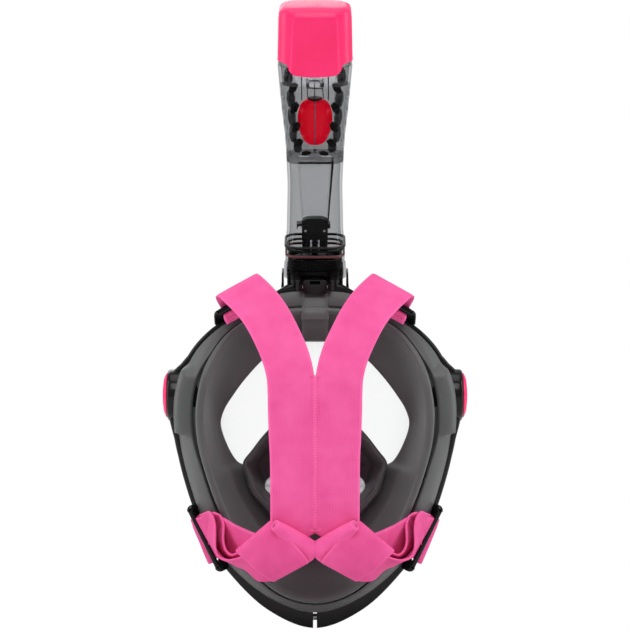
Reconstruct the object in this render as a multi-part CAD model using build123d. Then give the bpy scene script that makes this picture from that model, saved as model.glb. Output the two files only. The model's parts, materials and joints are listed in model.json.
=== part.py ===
from build123d import *
import math
import os

# Full face snorkel mask, seen as worn: +Z up, the wearer looks along -Y, +X is the wearer's left.
# The origin lies on the symmetry plane, level with the side valves, in the plane of the face opening.

# Half outlines in the X-Z plane, from the top centre round the +X side to the bottom centre.
RIM = [(0, 70), (24, 68), (48, 57), (71, 42), (85, 24), (92, 0),
       (91.3, -29), (84.5, -59), (73, -90), (57, -115), (31, -140), (0, -152)]
SEAT = [(0, 60), (22, 59), (45, 51), (67, 38), (80.5, 21), (87, -1),
        (86.5, -29), (80, -57), (69, -86), (53, -109), (28, -131), (0, -141)]
LIP = [(0, 57), (20, 55.7), (40, 50.5), (57, 39.5), (70, 20), (75.8, -3),
       (75.8, -24), (71, -46), (61, -74), (45.5, -104), (25, -125.5), (0, -133)]
OPENING = [(0, 35.5), (18, 34), (33, 24.5), (45, 12), (54, 0), (60, -10),
           (62, -20), (56.5, -36), (45, -52.5), (38.5, -70), (20, -96.5), (0, -104)]
POCKET = [(0, -3), (14, -9.5), (30, -22.5), (41, -36), (46.5, -44),
          (45, -56), (40, -70), (31, -88), (17, -101), (0, -106)]

# Depths along Y.
RIM_FRONT = -16
RIM_REAR = 3
FLANGE_FRONT = -10
FLANGE_REAR = -6
LIP_REAR = 26
FIT_GAP = 0.15

# Lens dome: (depth, size compared with the window) from the rim to the foremost flat.
LENS_CENTRE_Z = -42
LENS_STATIONS = [(-16, 1.0), (-30, 0.94), (-45, 0.83), (-58, 0.65), (-67, 0.43), (-71, 0.22)]
LENS_WALL = 2.2
WINDOW_INSET = 4

# Side valves, axis along X.
SIDE_Y = -5
SIDE_HOUSING_RADIUS = 17
SIDE_BORE_RADIUS = 13
SIDE_AIRWAY_RADIUS = 9
SIDE_SEAT_X = 88.5
SIDE_FLAP_X = 90.6
SIDE_HOUSING_X = 94.6
SIDE_COVER_X = 94.8
SIDE_COVER_END_X = 99.8
SIDE_COVER_RADIUS = 14.6

# Orinasal pocket and its inhale valves, axis along Y.
POCKET_REAR = 6
POCKET_FRONT = -44
POCKET_WALL = 2
POCKET_FRONT_SIZE = 0.86
INHALE_X = 27
INHALE_Z = -62
INHALE_RADIUS = 7.8

# Chin drain valve on the lower front of the lens.
DRAIN_TILT = 37
DRAIN_Y = -50
DRAIN_Z = -108
DRAIN_BORE_RADIUS = 13
DRAIN_BARREL_RADIUS = 14.5
DRAIN_FLANGE_RADIUS = 17
DRAIN_INNER_END = -7
DRAIN_STEP = 1.8
DRAIN_OUTER_END = 6.5

# One-way flaps.
FLAP_THICKNESS = 0.8

# Chin split and its clamp.
CHIN_GAP = 2.4
CLAMP_Y = -7
CLAMP_Z = -145.4
CLAMP_RADIUS = 2.2
CLAMP_HEAD_RADIUS = 3.4
CLAMP_HALF_LENGTH = 12

# Snorkel frame: local Z runs up the tube, which leans back over the head.
LEAN = 18
SOCKET_Y = -12
SOCKET_Z = 66
SOCKET_WIDTH = 34
SOCKET_DEPTH = 30
SOCKET_HEIGHT = 20
SOCKET_WALL = 3
COLLAR_START = 15
COLLAR_STEP = 20.5
COLLAR_END = 37
TUBE_END = 92.4
CAGE_END = 156
CAP_START = 156.2
CAP_TOP = 193
TUBE_WALL = 1.8
CORNER = 9

# Latch behind the socket.
LATCH_HALF_WIDTH = 7.9
LATCH_THICKNESS = 2.8
LATCH_INNER_Y = 17.4
LATCH_START = 6.5
LATCH_TOP = 16.3
LATCH_PIN_HEIGHT = 11
LATCH_SPRING_HEIGHT = 8.2
LATCH_PIN_RADIUS = 0.9

# Float inside the dry top.
FLOAT_START = 101
FLOAT_HEIGHT = 29
FLOAT_HALF_WIDTH = 10.9
FLOAT_DEPTH = 17
SEAT_START = 143

# Elastic webbing and its bars.
STRAP_HALF_WIDTH = 14.4
STRAP_THICKNESS = 1.8
BAR_RADIUS = 1.65
BAR_Y = 9


def inset(half, distance):
    """Half outline moved inwards along its own normals."""
    ring = half + [(-x, z) for x, z in reversed(half[1:-1])]
    moved = []
    for index, (x, z) in enumerate(half):
        before = ring[index - 1]
        after = ring[(index + 1) % len(ring)]
        along_x = after[0] - before[0]
        along_z = after[1] - before[1]
        length = math.hypot(along_x, along_z)
        moved.append((x + distance * along_z / length, z - distance * along_x / length))
    return moved


def between(half_a, half_b, share):
    """Half outline part way from one to another with the same number of points."""
    pairs = zip(half_a, half_b)
    return [(a[0] + (b[0] - a[0]) * share, a[1] + (b[1] - a[1]) * share) for a, b in pairs]


def scaled(half, centre_z, factor):
    """Half outline scaled about a point on the symmetry plane."""
    return [(x * factor, centre_z + (z - centre_z) * factor) for x, z in half]


def ring_wire(half, y):
    """Closed smooth outline through the half points and their mirror images, at one depth."""
    right = [Vector(x, y, z) for x, z in half]
    left = [Vector(-x, y, z) for x, z in reversed(half[1:-1])]
    return Wire([Edge.make_spline(right + left, periodic=True)])


def prism(half, front, rear):
    """Straight block of one outline between two depths."""
    face = Face(ring_wire(half, front))
    return Solid.extrude(face, Vector(0, rear - front, 0))


def tunnel(sections, ruled=True):
    """Block through outlines at growing depths."""
    return Solid.make_loft([ring_wire(half, y) for half, y in sections], ruled)


def along_x(radius, start, end, y, z):
    """Round bar parallel to X."""
    middle = (start + end) / 2
    return Pos(middle, y, z) * Rot(0, 90, 0) * Cylinder(radius, abs(end - start))


def upright(radius, start, end):
    """Round bar parallel to Z through the origin."""
    return Pos(0, 0, (start + end) / 2) * Cylinder(radius, end - start)


def along_y(radius, start, end, x, z):
    """Round bar parallel to Y."""
    middle = (start + end) / 2
    return Pos(x, middle, z) * Rot(90, 0, 0) * Cylinder(radius, abs(end - start))


def plain_rod(start, end, radius):
    """Round bar with flat ends between two vectors."""
    span = end - start
    return Plane(origin=start, z_dir=span) * Pos(0, 0, span.length / 2) * Cylinder(radius, span.length)


def bent_rod(points, radius):
    """Round wire with flat ends through several points."""
    path = [Vector(*point) for point in points]
    result = plain_rod(path[0], path[1], radius)
    for before, bend, after in zip(path, path[1:], path[2:]):
        through = (bend - before).normalized() + (after - bend).normalized()
        result += Plane(origin=bend, z_dir=through) * Sphere(radius)
        result += plain_rod(bend, after, radius)
    return result


def mirrored(shape):
    """The same piece on the other side of the face."""
    return mirror(shape, about=Plane.YZ)


def spoked_disc(radius, thickness, hub, spokes):
    """Flat disc with a hub and spokes, open between them, centred on the origin."""
    rim_width = 1.8
    disc = Cylinder(radius, thickness) - Cylinder(radius - rim_width, thickness)
    disc += Cylinder(hub, thickness)
    for turn in range(spokes):
        spoke = Pos(radius / 2, 0, 0) * Box(radius - rim_width / 2, rim_width * 0.8, thickness)
        disc += Rot(0, 0, turn * 360 / spokes) * spoke
    return disc


def on_snorkel(shape):
    """Places a piece built upright on the leaning tube axis."""
    return Pos(0, SOCKET_Y, SOCKET_Z) * Rot(-LEAN, 0, 0) * shape


def rounded_block(stations):
    """Upright block through rounded rectangles, each (height, width, depth)."""
    faces = [Pos(0, 0, height) * RectangleRounded(width, depth, min(CORNER, depth / 2 - 0.5))
             for height, width, depth in stations]
    return loft(faces, ruled=True)


def thinner(stations, wall):
    """The same rounded stations, smaller by a wall all round."""
    return [(height, width - 2 * wall, depth - 2 * wall) for height, width, depth in stations]


def ribbon(stations, thickness=STRAP_THICKNESS):
    """Flat webbing through stations of (centre, half-width direction)."""
    sections = []
    for index, (centre, side) in enumerate(stations):
        before = Vector(*stations[max(index - 1, 0)][0])
        after = Vector(*stations[min(index + 1, len(stations) - 1)][0])
        across = Vector(*side).normalized() * STRAP_HALF_WIDTH
        normal = (after - before).cross(across).normalized() * (thickness / 2)
        middle = Vector(*centre)
        corners = [middle + across + normal, middle - across + normal,
                   middle - across - normal, middle + across - normal]
        sections.append(Wire.make_polygon(corners, close=True))
    return Solid.make_loft(sections)


# ---------------------------------------------------------------- mask body

def side_bore(radius, start, end):
    """Bores of one radius for both side valves."""
    left = along_x(radius, start, end, SIDE_Y, 0)
    return left + mirrored(left)


def upper_bar_points():
    """Centre line of the left upper strap loop: foot, bar end, bar end, foot."""
    return [(66, 0, 42.5), (64.8, BAR_Y, 52.7), (36.6, BAR_Y, 68.4), (37.5, 0, 58.5)]


def lower_bar_points():
    """Centre line of the left lower strap loop."""
    return [(76.3, 0, -75), (81.5, BAR_Y, -73.5), (63, BAR_Y, -112), (56.5, 0, -110.5)]


def strap_loop(points):
    """Wire loop that stands behind the rim and carries one strap."""
    return bent_rod(points, BAR_RADIUS)


def loop_pockets():
    """Pockets in the rim for the feet of the four strap loops."""
    pockets = None
    for points in (upper_bar_points(), lower_bar_points()):
        for foot, end in ((points[0], points[1]), (points[3], points[2])):
            along = (Vector(*foot) - Vector(*end)).normalized()
            bottom = Vector(*foot) + along * (BAR_RADIUS + FIT_GAP)
            pocket = plain_rod(bottom, Vector(*end), BAR_RADIUS + FIT_GAP)
            pockets = pocket if pockets is None else pockets + pocket
    return pockets + mirrored(pockets)


def duct_opening():
    """Air passage from the socket through the top of the rim."""
    return Pos(0, (RIM_FRONT + RIM_REAR) / 2, (SEAT[0][1] + RIM[0][1]) / 2) * Box(18, 11, 16)


def frame_rim():
    window = inset(SEAT, WINDOW_INSET)
    rim = prism(RIM, RIM_FRONT, RIM_REAR)
    housing = along_x(SIDE_HOUSING_RADIUS, 78, SIDE_HOUSING_X, SIDE_Y, 0)
    rim += housing + mirrored(housing)
    rim -= prism(SEAT, FLANGE_FRONT, SIDE_HOUSING_RADIUS)
    rim -= prism(window, -SIDE_HOUSING_RADIUS * 2, FLANGE_FRONT)
    rim -= side_bore(SIDE_AIRWAY_RADIUS, 70, SIDE_HOUSING_X)
    rim -= side_bore(SIDE_BORE_RADIUS + FIT_GAP, SIDE_SEAT_X - FIT_GAP, SIDE_HOUSING_X + 1)
    rim -= duct_opening()
    rim -= on_snorkel(socket_body(FIT_GAP))
    rim += on_snorkel(guide_tab())
    rim += mirrored(on_snorkel(guide_tab()))
    rim -= Pos(0, 0, RIM[-1][1]) * Box(CHIN_GAP, 60, 40)
    rim -= along_x(CLAMP_RADIUS + FIT_GAP, -30, 30, CLAMP_Y, CLAMP_Z)
    head_recess = along_x(CLAMP_HEAD_RADIUS + FIT_GAP, CLAMP_HALF_LENGTH - 3, 30, CLAMP_Y, CLAMP_Z)
    rim -= head_recess + mirrored(head_recess)
    rim -= loop_pockets()
    return rim


def lens_dome(window, shift):
    """Solid dome over one window outline, moved back by a shift."""
    sections = [(scaled(window, LENS_CENTRE_Z, size), y + shift) for y, size in LENS_STATIONS]
    return tunnel(sections, ruled=False)


def lens_window():
    window = inset(SEAT, WINDOW_INSET + FIT_GAP)
    hollow = inset(window, LENS_WALL)
    lens = prism(inset(SEAT, FIT_GAP), FLANGE_FRONT + FIT_GAP, FLANGE_REAR - FIT_GAP)
    lens += prism(window, RIM_FRONT, FLANGE_FRONT + FIT_GAP)
    lens += lens_dome(window, 0)
    lens -= prism(hollow, RIM_FRONT + LENS_WALL, FLANGE_REAR)
    lens -= lens_dome(hollow, LENS_WALL)
    lens -= side_bore(SIDE_AIRWAY_RADIUS, 70, 95)
    lens -= on_drain(Cylinder(DRAIN_BARREL_RADIUS + FIT_GAP, 40))
    lens -= on_drain(upright(DRAIN_FLANGE_RADIUS + FIT_GAP, DRAIN_STEP - FIT_GAP, 20))
    return lens


def bowl_outline(y, extra):
    """Inner face of the skirt at one depth, moved outwards by an extra."""
    share = (y - FLANGE_REAR) / (LIP_REAR - FLANGE_REAR)
    return inset(between(OPENING, inset(LIP, 2.4), share), -extra)


def skirt_outline(y, wall):
    """Outer face of the skirt behind the rim at one depth, moved inwards by a wall."""
    share = (y - RIM_REAR) / (LIP_REAR - RIM_REAR)
    return inset(between(inset(SEAT, 1), LIP, share), wall)


def face_skirt():
    bead = prism(inset(SEAT, FIT_GAP), FLANGE_REAR, RIM_REAR)
    skirt = bead + tunnel([(skirt_outline(RIM_REAR, 0), RIM_REAR), (LIP, LIP_REAR)])
    front = FLANGE_REAR - 1
    fold = 20
    wall = 2.2
    outer_void = tunnel([(inset(SEAT, 3), front), (inset(SEAT, 3), RIM_REAR), (skirt_outline(fold, wall), fold)])
    inner_block = tunnel([(bowl_outline(front, wall), front), (bowl_outline(fold + 1, wall), fold + 1)])
    rear = LIP_REAR + 1
    bowl = tunnel([(bowl_outline(front, 0), front), (bowl_outline(rear, 0), rear)])
    skirt -= outer_void - inner_block
    skirt -= bowl
    skirt -= side_bore(SIDE_AIRWAY_RADIUS, 82, 95)
    skirt -= pocket_shape(-2 * FIT_GAP)
    return skirt


def pocket_shape(extra):
    """Nose and mouth cup, moved inwards by an extra."""
    rear = inset(POCKET, extra)
    front = scaled(rear, INHALE_Z, POCKET_FRONT_SIZE)
    return tunnel([(rear, POCKET_REAR), (front, POCKET_FRONT + extra)])


def orinasal_pocket():
    cup = pocket_shape(0) - pocket_shape(POCKET_WALL)
    mouth = inset(POCKET, POCKET_WALL)
    cup -= prism(mouth, POCKET_REAR - 1, POCKET_REAR + 1)
    seats = along_y(INHALE_RADIUS + FIT_GAP, POCKET_FRONT - 2, POCKET_FRONT + 6, INHALE_X, INHALE_Z)
    cup -= seats + mirrored(seats)
    cup -= along_y(5, POCKET_FRONT - 2, POCKET_FRONT + 6, 0, INHALE_Z - 17)
    return cup


def inhale_valve_seat():
    """Clear spoked seat in the front wall of the cup."""
    seat = Rot(90, 0, 0) * spoked_disc(INHALE_RADIUS, POCKET_WALL, 2, 4)
    return Pos(INHALE_X, POCKET_FRONT + POCKET_WALL / 2, INHALE_Z) * seat


def inhale_valve_flap():
    """Flap on the cup side of the seat, lifts towards the face."""
    y = POCKET_FRONT + POCKET_WALL + 0.1
    return along_y(INHALE_RADIUS - 0.8, y, y + FLAP_THICKNESS, INHALE_X, INHALE_Z)


def side_exhaust_seat():
    seat = Rot(0, 90, 0) * spoked_disc(SIDE_BORE_RADIUS, 2, 2.5, 5)
    return Pos(SIDE_SEAT_X + 1, SIDE_Y, 0) * seat


def side_exhaust_flap():
    return along_x(SIDE_BORE_RADIUS - 1, SIDE_FLAP_X, SIDE_FLAP_X + FLAP_THICKNESS, SIDE_Y, 0)


def side_cover():
    """Vented glossy disc that closes the side housing."""
    cover = along_x(SIDE_COVER_RADIUS, SIDE_COVER_X, SIDE_COVER_END_X, SIDE_Y, 0)
    rim_edges = cover.edges().filter_by(GeomType.CIRCLE).sort_by(Axis.X)[-1]
    cover = fillet(rim_edges, 1.6)
    hollow = along_x(SIDE_COVER_RADIUS - 2, SIDE_COVER_X, SIDE_COVER_END_X - 1.8, SIDE_Y, 0)
    cover -= hollow
    for turn in range(6):
        vent = Pos(0, 8.6, 0) * Box(8, 2.2, 5)
        cover -= Pos(SIDE_COVER_END_X, SIDE_Y, 0) * Rot(turn * 60, 0, 0) * vent
    return cover


def on_drain(shape):
    """Places a piece built upright on the drain axis, which points forward and down."""
    return Pos(0, DRAIN_Y, DRAIN_Z) * Rot(90 + DRAIN_TILT, 0, 0) * shape


def chin_drain_seat():
    """Spoked barrel in the lens with a flange outside it."""
    barrel = upright(DRAIN_BARREL_RADIUS, DRAIN_INNER_END, DRAIN_STEP)
    barrel += upright(DRAIN_FLANGE_RADIUS, DRAIN_STEP, DRAIN_OUTER_END)
    barrel -= upright(DRAIN_BORE_RADIUS - 1, DRAIN_INNER_END - 1, DRAIN_OUTER_END + 1)
    barrel -= upright(DRAIN_BORE_RADIUS, 1, DRAIN_OUTER_END + 1)
    return on_drain(barrel + spoked_disc(DRAIN_BORE_RADIUS, 2, 2.5, 6))


def chin_drain_flap():
    start = 1 + 0.1
    return on_drain(upright(DRAIN_BORE_RADIUS - 0.8, start, start + FLAP_THICKNESS))


def chin_drain_cover():
    """Slotted cap over the drain valve."""
    start = DRAIN_OUTER_END + 0.1
    top = start + 3.8
    cover = upright(DRAIN_FLANGE_RADIUS, start, top)
    cover = fillet(cover.edges().group_by(Axis.Z)[-1], 1.5)
    cover -= upright(DRAIN_FLANGE_RADIUS - 2, start - 1, start + 1.9)
    for row in range(-2, 3):
        reach = math.sqrt((DRAIN_FLANGE_RADIUS - 4) ** 2 - (row * 5) ** 2)
        cover -= Pos(0, row * 5, top) * Box(2 * reach, 2.2, 8)
    return on_drain(cover)


def chin_clamp_screw():
    shank = along_x(CLAMP_RADIUS, -CLAMP_HALF_LENGTH, CLAMP_HALF_LENGTH - 2.8, CLAMP_Y, CLAMP_Z)
    head = along_x(CLAMP_HEAD_RADIUS, CLAMP_HALF_LENGTH - 2.8, CLAMP_HALF_LENGTH, CLAMP_Y, CLAMP_Z)
    slot = Pos(CLAMP_HALF_LENGTH, CLAMP_Y, CLAMP_Z) * Box(2.4, 0.9, 2 * CLAMP_HEAD_RADIUS)
    return shank + head - slot


def chin_clamp_nut():
    plate = Pos(-CLAMP_HALF_LENGTH + 1.2, CLAMP_Y, CLAMP_Z) * Rot(0, 90, 0)
    blank = plate * extrude(RegularPolygon(CLAMP_HEAD_RADIUS, 6), 1.2, both=True)
    return blank - along_x(CLAMP_RADIUS + FIT_GAP / 3, -20, 0, CLAMP_Y, CLAMP_Z)


# ---------------------------------------------------------------- snorkel connection

def socket_body(grow):
    """Outer shape of the socket, grown for its pocket in the rim."""
    size = 2 * grow
    stations = [(-grow, SOCKET_WIDTH + size, SOCKET_DEPTH + size),
                (SOCKET_HEIGHT, SOCKET_WIDTH + size, SOCKET_DEPTH + size)]
    return rounded_block(stations)


def guide_tab():
    """Upright tab of the rim beside the collar."""
    tab = Pos(21.6, 0, 11.5) * Box(1.4, 13, 25)
    return tab + Pos(22.8, 0, 1) * Box(3, 5, 12)


def snorkel_socket():
    socket = socket_body(0)
    bore = [(-1, SOCKET_WIDTH, SOCKET_DEPTH), (SOCKET_HEIGHT + 1, SOCKET_WIDTH, SOCKET_DEPTH)]
    socket -= rounded_block(thinner(bore, SOCKET_WALL))
    lug_depth = LATCH_INNER_Y + LATCH_THICKNESS - SOCKET_DEPTH / 2
    for side in (-1, 1):
        lug_x = side * (LATCH_HALF_WIDTH + 1.4)
        lug_y = SOCKET_DEPTH / 2 + lug_depth / 2 - 0.5
        socket += Pos(lug_x, lug_y, LATCH_PIN_HEIGHT) * Box(2.4, lug_depth + 1, 5)
    socket -= on_latch_pin(LATCH_PIN_RADIUS + 0.05, 30)
    return on_snorkel(socket)


def on_latch_pin(radius, length):
    """Bar along the latch pin axis, in the tube's own frame."""
    y = LATCH_INNER_Y + LATCH_THICKNESS / 2
    return Pos(0, y, LATCH_PIN_HEIGHT) * Rot(0, 90, 0) * Cylinder(radius, length)


def snorkel_latch():
    height = LATCH_TOP - LATCH_START
    middle_y = LATCH_INNER_Y + LATCH_THICKNESS / 2
    middle_z = (LATCH_TOP + LATCH_START) / 2
    body = Pos(0, middle_y, middle_z) * Box(2 * LATCH_HALF_WIDTH, LATCH_THICKNESS, height)
    body = fillet(body.edges().filter_by(Axis.Y), 2.4)
    body -= Pos(0, middle_y, LATCH_TOP - 1.9) * Box(6.6, LATCH_THICKNESS * 2, 2.2)
    body -= on_latch_pin(LATCH_PIN_RADIUS + 0.05, 30)
    return on_snorkel(body)


def latch_pin():
    return on_snorkel(on_latch_pin(LATCH_PIN_RADIUS, 2 * LATCH_HALF_WIDTH + 5.2))


def latch_spring():
    """Short coil between the socket wall and the lower end of the latch."""
    length = LATCH_INNER_Y - SOCKET_DEPTH / 2 - 0.7
    helix = Helix(pitch=length / 2.5, height=length, radius=1.4)
    wire = sweep(Plane(helix @ 0, z_dir=helix % 0) * Circle(0.25), path=helix)
    spring = Pos(0, SOCKET_DEPTH / 2 + 0.35, LATCH_SPRING_HEIGHT) * Rot(-90, 0, 0) * wire
    return on_snorkel(spring)


# ---------------------------------------------------------------- snorkel

def tube_collar():
    """Clear collar that slides over the socket, with the catch for the latch."""
    inner = 2 * FIT_GAP
    lower = [(COLLAR_START, 40.4, 34.4), (COLLAR_STEP, 40.4, 34.4)]
    upper = [(COLLAR_STEP, 38.6, 33), (COLLAR_END, 39, 33.4)]
    collar = rounded_block(lower) + rounded_block(upper)
    over_socket = [(COLLAR_START - 1, SOCKET_WIDTH + inner, SOCKET_DEPTH + inner),
                   (SOCKET_HEIGHT + 0.5, SOCKET_WIDTH + inner, SOCKET_DEPTH + inner)]
    collar -= rounded_block(over_socket)
    bore = [(SOCKET_HEIGHT, 32, 27), (COLLAR_END + 1, 34.6, 29)]
    collar -= rounded_block(bore)
    groove_floor = [(seal_height() - 1.6, 40, 35), (seal_height() + 1.6, 40, 35)]
    groove_core = [(seal_height() - 2, 37, 31.4), (seal_height() + 2, 37, 31.4)]
    collar -= rounded_block(groove_floor) - rounded_block(groove_core)
    return on_snorkel(collar)


def seal_height():
    """Height of the seal groove on the collar."""
    return COLLAR_END - 6


def tube_seal_ring():
    height = seal_height()
    ring = rounded_block([(height - 1.5, 38.8, 33.2), (height + 1.5, 38.8, 33.2)])
    ring -= rounded_block([(height - 2, 37.1, 31.5), (height + 2, 37.1, 31.5)])
    return on_snorkel(ring)


def tube_stations():
    """Outside of the tube above the collar."""
    return [(COLLAR_END + 0.05, 38, 32.4), (45, 36.8, 31), (61, 36.2, 30.6), (77, 35.6, 30.4), (TUBE_END, 36.6, 31)]


def snorkel_tube():
    stations = tube_stations()
    tube = rounded_block(stations)
    inside = [(height, width - 2 * TUBE_WALL, depth - 2 * TUBE_WALL) for height, width, depth in stations]
    inside[0] = (stations[0][0] - 1, inside[0][1], inside[0][2])
    inside[-1] = (TUBE_END + 1, inside[-1][1], inside[-1][2])
    return on_snorkel(tube - rounded_block(inside))


def air_divider():
    """Inner air channel, a thin box tube that widens upwards."""
    stations = [(53, 18, 12), (TUBE_END - 1, 23, 14)]
    wall = [(52, 16.4, 10.4), (TUBE_END, 21.4, 12.4)]
    return on_snorkel(rounded_block(stations) - rounded_block(wall))


def divider_anchor():
    """Black moulded anchor below the inner channel, with a hook on each side."""
    block = Pos(0, 0, 41.5) * Box(16.8, 9, 20)
    block = chamfer(block.edges().filter_by(Axis.Y).group_by(Axis.Z)[-1], 4)
    hooks = Pos(0, 0, 45) * Box(21.4, 5, 3)
    holes = Pos(0, 0, 41) * (Pos(6.2, 0, 0) * Rot(90, 0, 0) * Cylinder(1.1, 12))
    return on_snorkel(block + hooks - holes - mirrored(holes))


def anchor_stem():
    stem = Pos(0, 0, 25.9) * Box(4.8, 4.8, 10.8)
    foot = Pos(0, 0, 21.5) * Box(31.6, 4.8, 2)
    return on_snorkel(stem + foot)


def cage_stations():
    return [(TUBE_END + 0.05, 36.6, 31), (109, 38.4, 32.5), (125, 42, 35), (141, 45, 37.5), (CAGE_END, 47.4, 39.6)]


def dry_top_cage():
    """Louvred shell that holds the float, open above."""
    stations = cage_stations()
    cage = rounded_block(stations)
    inside = thinner(stations, TUBE_WALL)
    inside[0] = (TUBE_END + 2.5, inside[0][1], inside[0][2])
    inside[-1] = (CAGE_END + 1, inside[-1][1], inside[-1][2])
    cage -= rounded_block(inside)
    for side in (-1, 1):
        cage -= Pos(side * 7.2, 0, TUBE_END) * Box(6.4, 12, 8)
    cage += Pos(0, 0, (TUBE_END + FLOAT_START) / 2 + 0.9) * Box(2, 10, FLOAT_START - TUBE_END - 2)
    for level in range(5):
        height = 100 + level * 9.5
        cage -= Pos(0, 0, height) * Box(60, 18, 5)
    return on_snorkel(cage)


def float_seat():
    """Clear plate above the float with the air opening."""
    plate = rounded_block([(SEAT_START, 41, 33), (SEAT_START + 2.5, 41.4, 33.4)])
    plate -= Pos(0, 0, SEAT_START) * Cylinder(6, 10)
    return on_snorkel(plate)


def snorkel_float():
    """Red buoyant float with a central rib on its rear."""
    width = 2 * FLOAT_HALF_WIDTH
    stations = [(FLOAT_START, width * 0.7, FLOAT_DEPTH * 0.7), (FLOAT_START + 8, width, FLOAT_DEPTH),
                (FLOAT_START + FLOAT_HEIGHT - 6, width, FLOAT_DEPTH),
                (FLOAT_START + FLOAT_HEIGHT, width * 0.8, FLOAT_DEPTH * 0.8)]
    body = rounded_block(stations)
    rib = Pos(0, FLOAT_DEPTH / 2, FLOAT_START + FLOAT_HEIGHT / 2) * Box(2, 3, FLOAT_HEIGHT - 8)
    return on_snorkel(body + rib)


def float_pad():
    """Soft pad on top of the float that closes the air opening."""
    start = FLOAT_START + FLOAT_HEIGHT + 0.05
    return on_snorkel(Pos(0, 0, start + 1.3) * Cylinder(7.5, 2.6))


def snorkel_cap():
    stations = [(CAP_START, 48, 40), (180, 47.6, 39.6), (189, 46, 38), (CAP_TOP, 39, 31)]
    cap = rounded_block(stations)
    inside = [(CAP_START - 1, 43.6, 35.6), (180, 43.2, 35.2), (188, 41, 33), (CAP_TOP - 2.2, 35, 27)]
    cap -= rounded_block(inside)
    tongue = Pos(0, 20.6, 151) * Box(34, 1.6, 12)
    tongue = fillet(tongue.edges().filter_by(Axis.Y).group_by(Axis.Z)[0], 4)
    return on_snorkel(cap + tongue + Pos(0, 19.8, 157.6) * Box(34, 3.2, 2))


# ---------------------------------------------------------------- harness

def upper_strap():
    """Left half of the head band, from its loop over the crown to the lower end."""
    over = (25, 0, -14)
    return ribbon([
        ((50.8, 12.6, 62.2), over), ((50, 20, 67.5), over), ((47, 31, 70.5), (25, 3, -14)),
        ((38, 45, 61), (24, 6, -15)), ((28.5, 57, 47), (23, 6, -16)), ((21.5, 64, 33), (25, 5, -13)),
        ((16.4, 69, 17), (28, 2, -5)), ((14.6, 72, 0), (1, 0, 0)), ((14.6, 75, -25), (1, 0, 0)),
        ((14.6, 75, -50), (1, 0, 0)), ((14.6, 72, -72), (1, 0, 0)), ((14.6, 70, -83), (1, 0, 0))])


def lower_strap():
    """Left lower band, from its loop round to the back."""
    return ribbon([
        ((69, 13, -94), (6, 0, 13)), ((61, 25, -97), (4, 0, 14)), ((50, 42, -99), (2, 2, 14)),
        ((36, 57, -100), (-2, 3, 14)), ((22, 66, -100), (-2, 1, 14)), ((3, 71, -100), (0, 0, 1))])


def lower_strap_tail():
    """Free end of the left lower band, folded back from the loop."""
    return ribbon([
        ((78, 13.4, -91), (6, 0, 13)), ((77, 19, -91), (6, 0, 13)), ((72, 26, -93), (5, 0, 13)), ((64, 34, -96), (4, 1, 14))])


def pair(make):
    """A left piece and its mirror image."""
    left = make()
    return left, mirrored(left)


SINGLE_NODES = {
    "frame_rim": frame_rim,
    "lens_window": lens_window,
    "face_skirt": face_skirt,
    "orinasal_pocket": orinasal_pocket,
    "chin_drain_seat": chin_drain_seat,
    "chin_drain_flap": chin_drain_flap,
    "chin_drain_cover": chin_drain_cover,
    "chin_clamp_screw": chin_clamp_screw,
    "chin_clamp_nut": chin_clamp_nut,
    "snorkel_socket": snorkel_socket,
    "snorkel_latch": snorkel_latch,
    "latch_pin": latch_pin,
    "latch_spring": latch_spring,
    "tube_collar": tube_collar,
    "tube_seal_ring": tube_seal_ring,
    "snorkel_tube": snorkel_tube,
    "air_divider": air_divider,
    "divider_anchor": divider_anchor,
    "anchor_stem": anchor_stem,
    "dry_top_cage": dry_top_cage,
    "float_seat": float_seat,
    "snorkel_float": snorkel_float,
    "float_pad": float_pad,
    "snorkel_cap": snorkel_cap,
}

PAIRED_NODES = {
    "inhale_valve_seat": inhale_valve_seat,
    "inhale_valve_flap": inhale_valve_flap,
    "side_exhaust_seat": side_exhaust_seat,
    "side_exhaust_flap": side_exhaust_flap,
    "side_cover": side_cover,
    "upper_strap_loop": lambda: strap_loop(upper_bar_points()),
    "lower_strap_loop": lambda: strap_loop(lower_bar_points()),
    "upper_strap": upper_strap,
    "lower_strap": lower_strap,
    "lower_strap_tail": lower_strap_tail,
}

os.makedirs("parts", exist_ok=True)
for name, make in SINGLE_NODES.items():
    export_step(make(), f"parts/{name}.step")
for name, make in PAIRED_NODES.items():
    left, right = pair(make)
    export_step(left, f"parts/{name}_left.step")
    export_step(right, f"parts/{name}_right.step")
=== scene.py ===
import json
import math

import bmesh
import bpy
import numpy as np
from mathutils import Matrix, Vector, noise


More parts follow.
